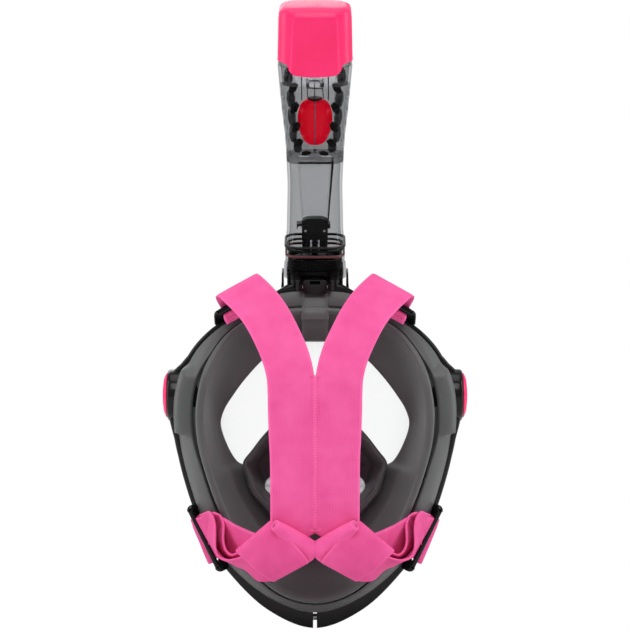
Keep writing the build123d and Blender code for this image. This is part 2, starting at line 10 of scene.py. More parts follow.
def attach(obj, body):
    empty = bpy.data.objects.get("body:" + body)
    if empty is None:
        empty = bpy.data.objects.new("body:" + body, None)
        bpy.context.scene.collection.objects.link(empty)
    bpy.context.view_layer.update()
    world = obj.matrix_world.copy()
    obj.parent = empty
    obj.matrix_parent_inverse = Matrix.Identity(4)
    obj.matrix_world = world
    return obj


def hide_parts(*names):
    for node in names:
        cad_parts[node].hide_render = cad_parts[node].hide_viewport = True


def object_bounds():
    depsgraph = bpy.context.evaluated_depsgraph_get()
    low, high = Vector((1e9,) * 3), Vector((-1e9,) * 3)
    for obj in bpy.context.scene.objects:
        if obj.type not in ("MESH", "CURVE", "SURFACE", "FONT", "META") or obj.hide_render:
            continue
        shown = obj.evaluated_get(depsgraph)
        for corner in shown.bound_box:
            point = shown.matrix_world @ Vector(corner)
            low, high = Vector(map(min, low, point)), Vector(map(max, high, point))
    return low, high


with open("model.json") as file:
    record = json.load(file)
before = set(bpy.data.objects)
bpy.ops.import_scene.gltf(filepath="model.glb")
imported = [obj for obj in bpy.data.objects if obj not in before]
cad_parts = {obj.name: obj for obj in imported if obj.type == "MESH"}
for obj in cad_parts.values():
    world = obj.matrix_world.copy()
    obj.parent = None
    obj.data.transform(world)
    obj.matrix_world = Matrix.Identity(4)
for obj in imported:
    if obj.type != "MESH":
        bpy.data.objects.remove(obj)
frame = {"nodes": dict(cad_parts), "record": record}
cad_box = [list(corner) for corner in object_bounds()]

# Full face snorkel mask. Lengths below are millimetres in the row frame; meshes are made in metres.
MM = 0.001
SAME_POINT = 1e-6  # metres: points closer than this are one
LEFT, RIGHT = 1, -1
SIDES = ((LEFT, "left"), (RIGHT, "right"))
BEVEL_EDGE, CUT_EDGE = 35, 50  # degrees

# Half outlines in the X-Z plane, top centre round the +X side to the bottom centre.
RIM = [(0, 74), (14, 73.6), (19, 72), (27, 67.4), (48, 56.8), (70.3, 41.5), (84.4, 23.6), (92, 0),
       (91.3, -29), (84.5, -59), (73, -90), (57, -115), (31, -140), (0, -152)]
BAND = [(0, 68), (24, 66), (46.4, 54.4), (68.1, 39.4), (81.4, 22.6), (88.7, 0),
        (88, -29), (81.3, -58), (70.2, -88), (54.5, -111.5), (29, -132), (0, -141.3)]
SEAT = [(0, 60), (22, 59), (45, 51), (67, 38), (80.5, 21), (87, -1),
        (86.5, -29), (80, -57), (69, -86), (53, -109), (28, -131), (0, -141)]
LIP = [(0, 57), (20, 55.7), (40, 50.5), (57, 39.5), (70, 20), (75.8, -3),
       (75.8, -24), (71, -46), (61, -74), (45.5, -104), (25, -125.5), (0, -133)]
OPENING = [(0, 35.5), (18, 34), (33, 24.5), (45, 12), (54, 0), (60, -10),
           (62, -20), (57.5, -33.5), (51.3, -43.5), (44, -47.5), (41, -56), (36, -64), (22, -80), (0, -92)]
POCKET = [(0, -3), (14, -9.5), (30, -22.5), (41, -36), (46.5, -44),
          (44.4, -53), (41.6, -62), (37, -68), (28, -78), (15, -91), (0, -96)]
CENTRE_Z = -35

# Side valve axis, parallel to X.
SIDE_Y, SIDE_Z = -5, 0
CHIN_GAP = 2.4

# Snorkel axis: it leans back from the socket.
LEAN = math.radians(18)
SOCKET = Vector((0, -12, 66))
TUBE_UP = Vector((0, math.sin(LEAN), math.cos(LEAN)))
TUBE_BACK = Vector((0, math.cos(LEAN), -math.sin(LEAN)))

STRAP_HALF = 14.7
STRAP_THICK = 1.7
TUBE_CORNER = 9
FLOAT_TURNS = 32
SAMPLES_PER_STEP = 8


# ---- curves and meshes

def catmull(a, b, c, d, t):
    """Point between b and c on a Catmull-Rom curve."""
    return 0.5 * ((2 * b) + (c - a) * t + (2 * a - 5 * b + 4 * c - d) * t ** 2
                  + (3 * b - a - 3 * c + d) * t ** 3)


def smooth_path(points, per_step=SAMPLES_PER_STEP, closed=False):
    """Smooth curve through rows of numbers, with the same number of samples in each step."""
    rows = np.array(points, float)
    count = len(rows)
    steps = count if closed else count - 1
    result = []
    for index in range(steps):
        if closed:
            near = [rows[(index + k) % count] for k in (-1, 0, 1, 2)]
        else:
            near = [rows[min(max(index + k, 0), count - 1)] for k in (-1, 0, 1, 2)]
            if index == 0:
                near[0] = 2 * rows[0] - rows[1]
            if index == steps - 1:
                near[3] = 2 * rows[-1] - rows[-2]
        result += [catmull(*near, k / per_step) for k in range(per_step)]
    if not closed:
        result.append(rows[-1])
    return np.array(result)


def outline(half, count=288):
    """Whole smooth outline (x, z) from its half points, at equal turns about the middle of the face."""
    ring = list(half) + [(-x, z) for x, z in reversed(half[1:-1])]
    dense = smooth_path(ring, per_step=24, closed=True)
    turn = np.unwrap(np.arctan2(dense[:, 0], dense[:, 1] - CENTRE_Z))
    radius = np.hypot(dense[:, 0], dense[:, 1] - CENTRE_Z)
    wanted = np.linspace(0, 2 * math.pi, count, endpoint=False)
    radius = np.interp(wanted, turn, radius, period=2 * math.pi)
    return np.stack([radius * np.sin(wanted), CENTRE_Z + radius * np.cos(wanted)], axis=1)


def unit(rows):
    """Rows of numbers brought to length 1."""
    return rows / np.linalg.norm(rows, axis=1)[:, None]


def travelled(points):
    """Distance along a line of points, from its start to each of them."""
    return np.concatenate([[0], np.cumsum(np.linalg.norm(np.diff(points, axis=0), axis=1))])


def inset(curve, distance):
    """Outline moved inwards along its normals."""
    along = unit(np.roll(curve, -1, axis=0) - np.roll(curve, 1, axis=0))
    inward = np.stack([along[:, 1], -along[:, 0]], axis=1)
    return curve + inward * np.reshape(distance, (-1, 1))


def scaled(curve, size, middle):
    """Outline made smaller about a height on the centre line."""
    return np.stack([curve[:, 0] * size, middle + (curve[:, 1] - middle) * size], axis=1)


def share(curve_a, curve_b, part):
    """Outline part way from one to another."""
    return curve_a + (curve_b - curve_a) * part


def at_depth(curve, y):
    """Ring of points in space from an outline and a depth, or a depth for each point."""
    depth = np.broadcast_to(np.asarray(y, float), (len(curve),))
    return np.stack([curve[:, 0], depth, curve[:, 1]], axis=1)


def bump(value, low, high, soft):
    """Smooth step up at low and down at high."""
    rise = np.clip((value - low) / soft + 0.5, 0, 1)
    fall = np.clip((high - value) / soft + 0.5, 0, 1)
    both = np.minimum(rise, fall)
    return both * both * (3 - 2 * both)


def ease(value, start, end):
    """Smooth step from 0 at start to 1 at end."""
    part = np.clip((value - start) / (end - start), 0, 1)
    return part * part * (3 - 2 * part)


def clean_mesh(name, shape, uv=None):
    """Mesh in metres from (points, faces) in millimetres, with its faces turned outwards."""
    points, faces = shape
    mesh = bpy.data.meshes.new(name)
    mesh.from_pydata([tuple(float(c) * MM for c in p) for p in points], [], faces)
    if uv is not None:
        layer = mesh.uv_layers.new(name="UVMap")
        for loop in mesh.loops:
            layer.data[loop.index].uv = uv[loop.vertex_index]
    builder = bmesh.new()
    builder.from_mesh(mesh)
    bmesh.ops.remove_doubles(builder, verts=builder.verts, dist=SAME_POINT)
    bmesh.ops.recalc_face_normals(builder, faces=builder.faces)
    builder.to_mesh(mesh)
    builder.free()
    return mesh


def linked(name, data):
    """New object in the scene."""
    thing = bpy.data.objects.new(name, data)
    bpy.context.scene.collection.objects.link(thing)
    return thing


def new_object(name, shape, material, replaces=(), body="mask", uv=None, slot=None):
    """Piece that rides on a body."""
    mesh = clean_mesh(name, shape, uv)
    mesh.shade_smooth()
    thing = linked(name, mesh)
    thing.data.materials.append(material)
    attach(thing, body)
    if replaces:
        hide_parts(*replaces)
    slot or SLOT_OF[material.name]
    return thing


def grid(rings, along=False):
    """Quads between rings of points; along joins the last ring to the first."""
    rows, count = len(rings), len(rings[0])
    points = [p for ring in rings for p in ring]
    faces = []
    for row in range(rows if along else rows - 1):
        after = (row + 1) % rows
        for col in range(count):
            nxt = (col + 1) % count
            faces.append((row * count + col, row * count + nxt, after * count + nxt, after * count + col))
    return points, faces


def solid(rings):
    """Rings joined in a row and closed at both ends."""
    points, faces = grid(rings)
    count = len(rings[0])
    last = len(points) - count
    return points, faces + [tuple(range(count)), tuple(last + k for k in reversed(range(count)))]


def prism(polygon, low, high):
    """Straight-sided solid between two depths, from a polygon of (x, height)."""
    count = len(polygon)
    points = [(x, low, z) for x, z in polygon] + [(x, high, z) for x, z in polygon]
    faces = [tuple(range(count)), tuple(reversed(range(count, 2 * count)))]
    faces += [(k, (k + 1) % count, count + (k + 1) % count, count + k) for k in range(count)]
    return points, faces


def combined(parts):
    """Several (points, faces) as one."""
    points, faces = [], []
    for more_points, more_faces in parts:
        base = len(points)
        points += list(more_points)
        faces += [tuple(base + k for k in face) for face in more_faces]
    return points, faces


def turned(profile, segments):
    """Closed profile of (radius, height) turned about Z."""
    angles = np.linspace(0, 2 * math.pi, segments, endpoint=False)
    rings = [[(radius * math.cos(a), radius * math.sin(a), height) for a in angles]
             for radius, height in profile]
    return grid(rings, along=True)


def placed(shape, origin, x_axis, y_axis, z_axis):
    """Moves (points, faces) into the frame of three axes."""
    points, faces = shape
    x_axis, y_axis, z_axis, origin = map(np.array, (x_axis, y_axis, z_axis, origin))
    return [origin + x_axis * p[0] + y_axis * p[1] + z_axis * p[2] for p in points], faces


def mirrored(shape):
    """The same shape on the other side of the face."""
    points, faces = shape
    return [(-p[0], p[1], p[2]) for p in points], [tuple(reversed(face)) for face in faces]


def on_tube(shape):
    """Places a shape built upright on the snorkel axis."""
    return placed(shape, SOCKET, (1, 0, 0), TUBE_BACK, TUBE_UP)


def drill(radius, low, high, origin, across, along, sides=64):
    """Solid round bar along an axis, as the tool for cutting a bore."""
    angles = [2 * math.pi * k / sides for k in range(sides)]
    circle = [(radius * math.cos(a), radius * math.sin(a)) for a in angles]
    third = tuple(Vector(across).cross(Vector(along)))
    return placed(prism(circle, low, high), origin, across, along, third)


def cut_holes(thing, shape):
    """Cuts (points, faces) out of a piece for good."""
    tool = linked("drill", clean_mesh("drill", shape))
    tool.matrix_world = thing.matrix_world.copy()
    holes = thing.modifiers.new("holes", "BOOLEAN")
    holes.operation = "DIFFERENCE"
    holes.object = tool
    bpy.context.view_layer.update()
    result = bpy.data.meshes.new_from_object(thing.evaluated_get(bpy.context.evaluated_depsgraph_get()))
    thing.modifiers.remove(holes)
    thing.data = result
    bpy.data.objects.remove(tool)
    return crisp(thing, CUT_EDGE)


def soften(thing, width):
    """Rounds the hard edges of a piece."""
    bevel = thing.modifiers.new("edges", "BEVEL")
    bevel.width = width * MM
    bevel.segments = 2
    bevel.limit_method = "ANGLE"
    bevel.angle_limit = math.radians(BEVEL_EDGE)
    bevel.harden_normals = True
    return thing


def crisp(thing, angle):
    """Keeps edges above an angle in degrees sharp in smooth shading."""
    with bpy.context.temp_override(object=thing, selected_editable_objects=[thing], active_object=thing):
        bpy.ops.object.shade_smooth_by_angle(angle=math.radians(angle))
    return thing


# ---- materials

class Nodes:
    """Short names for building one node material."""

    def __init__(self, name):
        self.material = bpy.data.materials.new(name)
        self.material.use_nodes = True
        self.tree = self.material.node_tree
        self.tree.nodes.clear()
        self.out = self.tree.nodes.new("ShaderNodeOutputMaterial")

    def add(self, kind, settings=None, **inputs):
        """New shader node; an input is named by its label, or by i and its number."""
        made = self.tree.nodes.new("ShaderNode" + kind)
        for key, value in (settings or {}).items():
            setattr(made, key, value)
        for key, value in inputs.items():
            numbered = key[0] == "i" and key[1:].isdigit()
            socket = made.inputs[int(key[1:]) if numbered else key.replace("_", " ")]
            if isinstance(value, bpy.types.NodeSocket):
                self.tree.links.new(value, socket)
            else:
                socket.default_value = (*value, 1) if socket.type == "RGBA" else value
        return made

    def position(self):
        """Object coordinates: metres in the row frame."""
        return self.add("TexCoord").outputs["Object"]

    def noise(self, scale, detail=4, rough=0.5, vector=None):
        made = self.add("TexNoise", Vector=vector or self.position(), Scale=scale, Detail=detail,
                        Roughness=rough)
        return made.outputs[0]

    def ramp(self, value, low, high, low_in=0.3, high_in=0.7):
        """Value remapped to a low and a high number."""
        made = self.add("MapRange", Value=value, From_Min=low_in, From_Max=high_in, To_Min=low, To_Max=high)
        return made.outputs[0]

    def blend(self, factor, first, second, mode="MIX"):
        made = self.add("MixRGB", {"blend_type": mode}, Fac=factor, Color1=first, Color2=second)
        return made.outputs[0]

    def maths(self, operation, first, second=0.5):
        return self.add("Math", {"operation": operation}, i0=first, i1=second).outputs[0]

    def wave(self, length, pitch, shift=None):
        """Sine of a length that repeats at each pitch, both in metres."""
        turn = self.maths("MULTIPLY", length, 2 * math.pi / pitch)
        return self.maths("SINE", turn if shift is None else self.maths("ADD", turn, shift), 0)

    def bump(self, height, strength, distance, normal=None):
        inputs = {"Height": height, "Strength": strength, "Distance": distance}
        if normal is not None:
            inputs["Normal"] = normal
        return self.add("Bump", **inputs).outputs[0]

    def finish(self, shader):
        self.tree.links.new(shader, self.out.inputs["Surface"])
        return self.material


def moulded(name, base, light, rough, grain=1500, grain_depth=0.00003, coat=0.0, gloss=0.5, glow=0.0):
    """Moulded plastic: faint tone drift, handling marks in the gloss, fine surface grain, and a painted glow
    where glow is above zero.
    """
    n = Nodes(name)
    drift = n.noise(35, 3)
    marks = n.noise(420, 6, 0.65)
    fine = n.noise(grain, 3)
    color = n.blend(n.ramp(drift, 0, 1), base, light)
    roughness = n.ramp(marks, *rough, 0.35, 0.7)
    waves = n.bump(n.noise(60, 2), 0.08, 0.0006)
    normal = n.bump(fine, 0.25, grain_depth, waves)
    # glow adds emission in the base colour: painted light given off by a part that is no lamp.
    shader = n.add("BsdfPrincipled", Base_Color=color, Roughness=roughness, Normal=normal,
                   Specular_IOR_Level=gloss, Coat_Weight=coat, Coat_Roughness=0.06,
                   Emission_Color=color, Emission_Strength=glow)
    return n.finish(shader.outputs[0])


def silicone(name, base, light, rough, see_through=0.0):
    """Smoke-tinted silicone: satin with a little subsurface, and a painted sheen that lightens the colour
    where the surface is seen edge-on.
    """
    n = Nodes(name)
    drift = n.noise(22, 4)
    dust = n.noise(900, 5, 0.7)
    facing = n.add("LayerWeight", Blend=0.35).outputs["Facing"]
    color = n.blend(n.ramp(drift, 0, 1), base, light)
    # Painted sheen: the colour blends towards the light tone as the surface turns edge-on.
    edge = n.blend(n.maths("MULTIPLY", facing, 0.5), color, light)
    roughness = n.ramp(dust, rough - 0.07, rough + 0.12)
    normal = n.bump(n.noise(2600, 3), 0.12, 0.000015, n.bump(n.noise(55, 2), 0.1, 0.0006))
    shader = n.add("BsdfPrincipled", Base_Color=edge, Roughness=roughness, Normal=normal,
                   Subsurface_Weight=0.12, Subsurface_Scale=0.004, Sheen_Weight=0.15, Sheen_Roughness=0.5)
    if not see_through:
        return n.finish(shader.outputs[0])
    clear = n.add("BsdfTransparent", Color=(0.9, 0.9, 0.91))
    mixed = n.add("MixShader", i0=see_through, i1=shader.outputs[0], i2=clear.outputs[0])
    return n.finish(mixed.outputs[0])


def clear_plastic(name, tint, body, body_share, gloss_rough=0.06, mirror=0.05):
    """Clear moulded plastic: tinted see-through, Fresnel gloss, a little cloudy body and fine swirl marks."""
    n = Nodes(name)
    swirl = n.noise(240, 6, 0.7)
    normal = n.bump(n.noise(30, 2), 0.06, 0.0008)
    fresnel = n.add("Fresnel", IOR=1.5, Normal=normal).outputs[0]
    facing = n.add("LayerWeight", Blend=0.25).outputs["Facing"]
    deep = n.blend(n.maths("MULTIPLY", facing, 0.3), tint, body)
    clear = n.add("BsdfTransparent", Color=deep).outputs[0]
    cloud = n.add("BsdfDiffuse", Color=body).outputs[0]
    haze = n.maths("MULTIPLY", n.ramp(n.noise(45, 4), 0.7, 1.3), body_share)
    inside = n.add("MixShader", i0=haze, i1=clear, i2=cloud).outputs[0]
    gloss = n.add("BsdfGlossy", Color=(1, 1, 1), Roughness=n.ramp(swirl, gloss_rough, gloss_rough + 0.08),
                  Normal=normal).outputs[0]
    shine = n.maths("MULTIPLY", fresnel, mirror)
    return n.finish(n.add("MixShader", i0=shine, i1=inside, i2=gloss).outputs[0])


def webbing(name, base, light, deep):
    """Woven elastic with weft crossings and fuzz, painted shade in the low parts of the weave and a painted
    highlight along the selvedge. U is across, V along, in metres.
    """
    cord_pitch, pick_pitch, band_pitch = 0.00095, 0.00085, 0.011
    n = Nodes(name)
    split = n.add("SeparateXYZ", Vector=n.add("UVMap").outputs[0])
    across, along = split.outputs[0], split.outputs[1]
    wobble = n.noise(700, 3)
    across_soft = n.maths("ADD", across, n.maths("MULTIPLY", wobble, 0.0003))
    cords = n.wave(across_soft, cord_pitch)
    shift = n.maths("MULTIPLY", n.maths("SIGN", cords, 0), 0.25 * math.pi)
    picks = n.wave(along, pick_pitch, shift)
    weave = n.maths("ADD", n.maths("MULTIPLY", cords, 0.5), n.maths("MULTIPLY", picks, 0.35))
    weave_unit = n.ramp(weave, 0, 1, -0.85, 0.85)
    bands = n.wave(along, band_pitch)
    drift = n.noise(70, 4)
    # Painted shade: the low parts of the weave take the deep colour, the raised parts the base colour.
    color = n.blend(n.ramp(weave_unit, 0.35, 1.0, 0, 1), deep, base)
    color = n.blend(n.maths("MULTIPLY", n.ramp(drift, 0, 1), 0.45), color, light)
    color = n.blend(n.maths("MULTIPLY", n.ramp(bands, 0, 1, -1, 1), 0.08), color, light)
    # Painted highlight: the colour is lightened towards the light tone within the outer 1.3 mm of each
    # selvedge.
    edge = n.ramp(n.maths("ABSOLUTE", across, 0), 0, 1, (STRAP_HALF - 1.3) * MM, (STRAP_HALF - 0.8) * MM)
    color = n.blend(n.maths("MULTIPLY", edge, 0.45), color, light)
    fuzz = n.noise(5200, 3, 0.7)
    height = n.maths("ADD", weave_unit, n.maths("MULTIPLY", fuzz, 0.5))
    normal = n.bump(height, 0.55, 0.00022)
    shader = n.add("BsdfPrincipled", Base_Color=color, Roughness=0.82, Normal=normal,
                   Sheen_Weight=0.45, Sheen_Roughness=0.45, Sheen_Tint=light)
    return n.finish(shader.outputs[0])


def thread(name, base, light):
    """Sewing thread: twisted strand shading."""
    n = Nodes(name)
    strands = n.noise(6000, 2)
    color = n.blend(n.ramp(strands, 0, 1), base, light)
    shader = n.add("BsdfPrincipled", Base_Color=color, Roughness=0.7, Sheen_Weight=0.3,
                   Normal=n.bump(strands, 0.5, 0.0001))
    return n.finish(shader.outputs[0])


def metal(name):
    """Plated steel with fine drawn lines."""
    n = Nodes(name)
    stretched = n.add("Mapping", Vector=n.position(), Scale=(30, 600, 600)).outputs[0]
    lines = n.noise(6, 5, 0.6, stretched)
    shader = n.add("BsdfPrincipled", Base_Color=n.blend(lines, (0.42, 0.42, 0.44), (0.7, 0.7, 0.72)),
                   Metallic=1.0, Roughness=n.ramp(lines, 0.22, 0.42), Normal=n.bump(lines, 0.2, 0.00005))
    return n.finish(shader.outputs[0])


BLACK_GLOSS = moulded("black_gloss", (0.002, 0.002, 0.0023), (0.005, 0.005, 0.0055), (0.12, 0.24),
                      grain=1800, gloss=0.25)
BLACK_SATIN = moulded("black_satin", (0.003, 0.003, 0.0033), (0.008, 0.008, 0.0085), (0.3, 0.46),
                      grain=2600, grain_depth=0.00005, gloss=0.2)
PINK_GLOSS = moulded("pink_gloss", (0.93, 0.018, 0.14), (0.98, 0.026, 0.165), (0.34, 0.46),
                     coat=0.05, gloss=0.28)
# The red float has a painted glow: emission of 0.75 in its own red, so it shines through the smoke cage
# though it is no lamp.
RED_GLOSS = moulded("red_gloss", (0.8, 0.0005, 0.012), (0.95, 0.002, 0.03), (0.12, 0.25),
                    gloss=0.3, glow=0.75)
RIB_ROSE = moulded("rib_rose", (0.62, 0.12, 0.22), (0.72, 0.16, 0.28), (0.1, 0.25), coat=0.5)
SEAL_RED = silicone("seal_red", (0.06, 0.002, 0.003), (0.12, 0.006, 0.008), 0.4)
SKIRT_GREY = silicone("skirt_silicone", (0.066, 0.068, 0.0685), (0.09, 0.0925, 0.093), 0.45)
POCKET_GREY = silicone("pocket_silicone", (0.045, 0.046, 0.048), (0.07, 0.071, 0.073), 0.4)
FLAP_MILKY = silicone("flap_silicone", (0.6, 0.61, 0.63), (0.75, 0.76, 0.78), 0.35, see_through=0.7)
LENS_CLEAR = clear_plastic("lens_clear", (0.998, 1.0, 1.0), (0.85, 0.88, 0.9), 0.0, 0.03, 0.8)
VALVE_CLEAR = clear_plastic("valve_clear", (0.93, 0.94, 0.95), (0.7, 0.72, 0.74), 0.12, 0.04, 1.0)
SMOKE_CLEAR = clear_plastic("smoke_clear", (0.76, 0.762, 0.768), (0.3, 0.302, 0.31), 0.0005, mirror=0.04)
CHAMBER_CLEAR = clear_plastic("chamber_clear", (0.93, 0.932, 0.935), (0.4, 0.402, 0.41), 0.001)
CHANNEL_CLEAR = clear_plastic("channel_clear", (0.985, 0.986, 0.988), (0.6, 0.602, 0.61), 0.001)
COLLAR_SMOKE = clear_plastic("collar_smoke", (0.7, 0.702, 0.708), (0.25, 0.252, 0.26), 0.0002,
                             gloss_rough=0.1, mirror=0.008)
SMOKE_DARK = clear_plastic("smoke_dark", (0.71, 0.712, 0.718), (0.25, 0.252, 0.26), 0.0005, 0.08, 0.03)
LOUVRE_SMOKE = clear_plastic("louvre_smoke", (0.32, 0.322, 0.33), (0.05, 0.05, 0.053), 0.25, mirror=0.1)
PINK_WEB = webbing("pink_elastic", (0.93, 0.1, 0.36), (0.98, 0.15, 0.43), (0.62, 0.035, 0.2))
# Darker copy of the pink elastic for the lower band, slack loops, loop turn and wrap band: painted shade on
# the same webbing.
PAINTED_SHADE_WEB = webbing("pink_elastic_painted_shade", (0.84, 0.075, 0.3), (0.92, 0.125, 0.38), (0.5, 0.025, 0.16))
PINK_THREAD = thread("pink_thread", (0.95, 0.12, 0.4), (1.0, 0.2, 0.48))
STEEL = metal("plated_steel")

# Materials of each slot of the record; the first one is for its CAD nodes.
SLOTS = {
    "black_gloss": [BLACK_GLOSS], "black_matte": [BLACK_SATIN], "clear_lens": [VALVE_CLEAR, LENS_CLEAR],
    "smoke_clear": [SMOKE_CLEAR, CHAMBER_CLEAR, CHANNEL_CLEAR, COLLAR_SMOKE, SMOKE_DARK, LOUVRE_SMOKE],
    "smoke_silicone": [SKIRT_GREY], "dark_silicone": [POCKET_GREY], "flap_silicone": [FLAP_MILKY],
    "pink_gloss": [PINK_GLOSS], "red_gloss": [RED_GLOSS, RIB_ROSE], "seal_red": [SEAL_RED],
    "pink_elastic": [PINK_WEB, PAINTED_SHADE_WEB, PINK_THREAD], "steel": [STEEL],
}
SLOT_OF = {material.name: slot for slot, group in SLOTS.items() for material in group}
for entry in frame["record"]["subparts"]:
    dark_cage = entry["node"] == "dry_top_cage"
    cad_mesh = frame["nodes"][entry["node"]].data
    cad_mesh.materials.clear()
    cad_mesh.materials.append(SMOKE_DARK if dark_cage else SLOTS[entry["material_slot"]][0])


# ---- outlines used by several pieces

RIM_CURVE = outline(RIM)
SEAT_CURVE = outline(SEAT)
LIP_CURVE = outline(LIP)
OPENING_CURVE = outline(OPENING)
POCKET_CURVE = outline(POCKET)
BAND_CURVE = outline(BAND)
WINDOW_CURVE = inset(SEAT_CURVE, 4)


# ---- rim

def build_rim():
    """Glossy rim: one rounded section swept round the face, open at the chin split."""
    swell_heights = (-40, -28, -16, -9, 0, 9, 14, 20, 26)
    swell = np.interp(RIM_CURVE[:, 1], swell_heights, (0, 0.6, 2.6, 3.7, 4.5, 5.2, 4.8, 1.6, 0))
    outer = inset(RIM_CURVE, -swell)
    section = [  # (outline, inset, depth)
        (outer, 1.6, -16), (outer, 0.3, -14.6), (outer, 0, -12), (outer, 0, -8.8), (outer, 0.9, -8.4),
        (outer, 0.9, -7.6), (outer, 0, -7.2), (outer, 0, -1), (outer, 0.25, 1.5), (outer, 1.1, 2.7),
        (outer, 2.2, 3.05), (SEAT_CURVE, 0.1, 3.05), (SEAT_CURVE, 0, 2.6),
        (SEAT_CURVE, 0, -9.8), (WINDOW_CURVE, 0, -10), (WINDOW_CURVE, 0, -15.2), (WINDOW_CURVE, -0.9, -16.4),
        (WINDOW_CURVE, -2.2, -16.9), (outer, 3.2, -16.9)]
    rings = np.array([at_depth(inset(curve, gap), y) for curve, gap, y in section])
    chin = rings.shape[1] // 2
    order = np.roll(np.arange(rings.shape[1]), -chin)
    swept = rings[:, order, :].transpose(1, 0, 2)
    first, last = swept[0].copy(), swept[0].copy()
    first[:, 0] = -CHIN_GAP / 2
    last[:, 0] = CHIN_GAP / 2
    body = [first] + [ring for ring in swept[1:] if abs(ring[:, 0]).min() > CHIN_GAP / 2] + [last]
    rim = new_object("rim_shell", solid(body), BLACK_GLOSS, ["frame_rim"])
    bore_radius, bore_start, bore_end = 14, 70, 104
    for side, _ in SIDES:
        bore = drill(bore_radius, bore_start, bore_end, (0, SIDE_Y, SIDE_Z), (0, 1, 0), (side, 0, 0))
        rim = cut_holes(rim, bore)


def build_guide_tabs():
    """Thin tabs of the rim that stand beside the collar."""
    tab = [(20.4, 1), (22.6, 1), (21.9, 9), (21.8, 15.6), (21.3, 17), (20.5, 16.2)]
    shapes = [on_tube(prism([(side * x, s) for x, s in tab], -5.5, 5.5)) for side, _ in SIDES]
    soften(new_object("guide_tabs", combined(shapes), BLACK_GLOSS), 0.3)


def rod(corners, wide, foot, deep):
    """Flattened rod along a line of corners, with rounded bends and wider closed feet."""
    bend, pull, sides = 3.2, 0.028, 20
    path = [Vector(corners[0])]
    for before, here, after in zip(*[map(Vector, corners[k:]) for k in range(3)]):
        path += [here + (before - here).normalized() * bend, here + (before + after - 2 * here) * pull,
                 here + (after - here).normalized() * bend]
    path.append(Vector(corners[-1]))
    centres = smooth_path([tuple(point) for point in path], 5)
    tangents = np.gradient(centres, axis=0)
    rings = []
    for part, centre, tangent in zip(np.linspace(0, 1, len(centres)), centres, tangents):
        breadth = foot + (wide - foot) * ease(min(part, 1 - part), 0.16, 0.34)
        along = Vector(tangent).normalized()
        across = along.cross(Vector((0, 1, 0))).normalized()
        up = across.cross(along).normalized()
        ring = []
        for k in range(sides):
            c, s = math.cos(2 * math.pi * k / sides), math.sin(2 * math.pi * k / sides)
            ring.append(tuple(Vector(centre) + across * (math.copysign(abs(c) ** 0.7, c) * breadth / 2)
                              + up * (math.copysign(abs(s) ** 0.7, s) * deep / 2)))
        rings.append(ring)
    return solid(rings)


def build_loops():
    """Upper and lower strap bars on both sides."""
    upper = rod([(62.4, -1, 47), (62.4, 9, 53.8), (36.6, 9, 68.4), (37.5, -1, 58.5)], 4.4, 6.6, 3)
    lower = rod([(74.2, -1, -76), (81, 9, -74.6), (63.2, 9, -111), (56.4, -1, -107.8)], 3.4, 8.4, 3)
    for shape, place in ((upper, "upper"), (lower, "lower")):
        for loop, word in ((shape, "left"), (mirrored(shape), "right")):
            new_object(f"{place}_loop_{word}", loop, BLACK_GLOSS, [f"{place}_strap_loop_{word}"])


# ---- lens

def build_lens():
    """Clear dome with real thickness, closed at the front and flanged at the rim."""
    middle, wall = -42, 2.2
    stations = smooth_path([(-16, 1.0), (-30, 0.94), (-45, 0.83), (-58, 0.65), (-67, 0.43), (-70.3, 0.24),
                            (-71.2, 0.08)], 5)

    def dome(curve, back):
        return [at_depth(scaled(curve, size, middle), y + back) for y, size in stations]

    outer_edge = inset(SEAT_CURVE, 4.2)
    inner_edge = inset(SEAT_CURVE, 4.2 + wall)
    flange = inset(SEAT_CURVE, 0.3)
    outer = [at_depth(flange, -6.3), at_depth(flange, -9.7), at_depth(outer_edge, -9.9)] + dome(outer_edge, 0)
    inner = dome(inner_edge, wall)[::-1] + [at_depth(inner_edge, -6.3)]
    tip = np.array([0, stations[-1][0] - 0.1, middle])
    count = len(flange)
    points, faces = combined([grid(outer), grid(inner)])
    points += [tip, tip + np.array([0, wall, 0])]
    shift = len(outer) * count
    outer_last, inner_last, tip_index = shift - count, len(points) - 2 - count, len(points) - 2
    for k in range(count):
        nxt = (k + 1) % count
        faces.append((outer_last + k, outer_last + nxt, tip_index))
        faces.append((shift + nxt, shift + k, tip_index + 1))
        faces.append((inner_last + k, inner_last + nxt, nxt, k))
    lens = new_object("lens_shell", (points, faces), LENS_CLEAR, ["lens_window"])
    drain_radius, drain_out = 13.8, (0, -0.799, -0.602)
    cut_holes(lens, drill(drain_radius, -22, 18, (0, -50, -108), (1, 0, 0), drain_out))


# ---- skirt

def lip_depth(curve):
    """Depth of the sealing lip: shallow at the brow, deepest at the temples and cheeks."""
    z = curve[:, 1]
    return 25.4 - 11 * ease(z, 5, 50) - 4.4 * ease(-z, 95, 135)


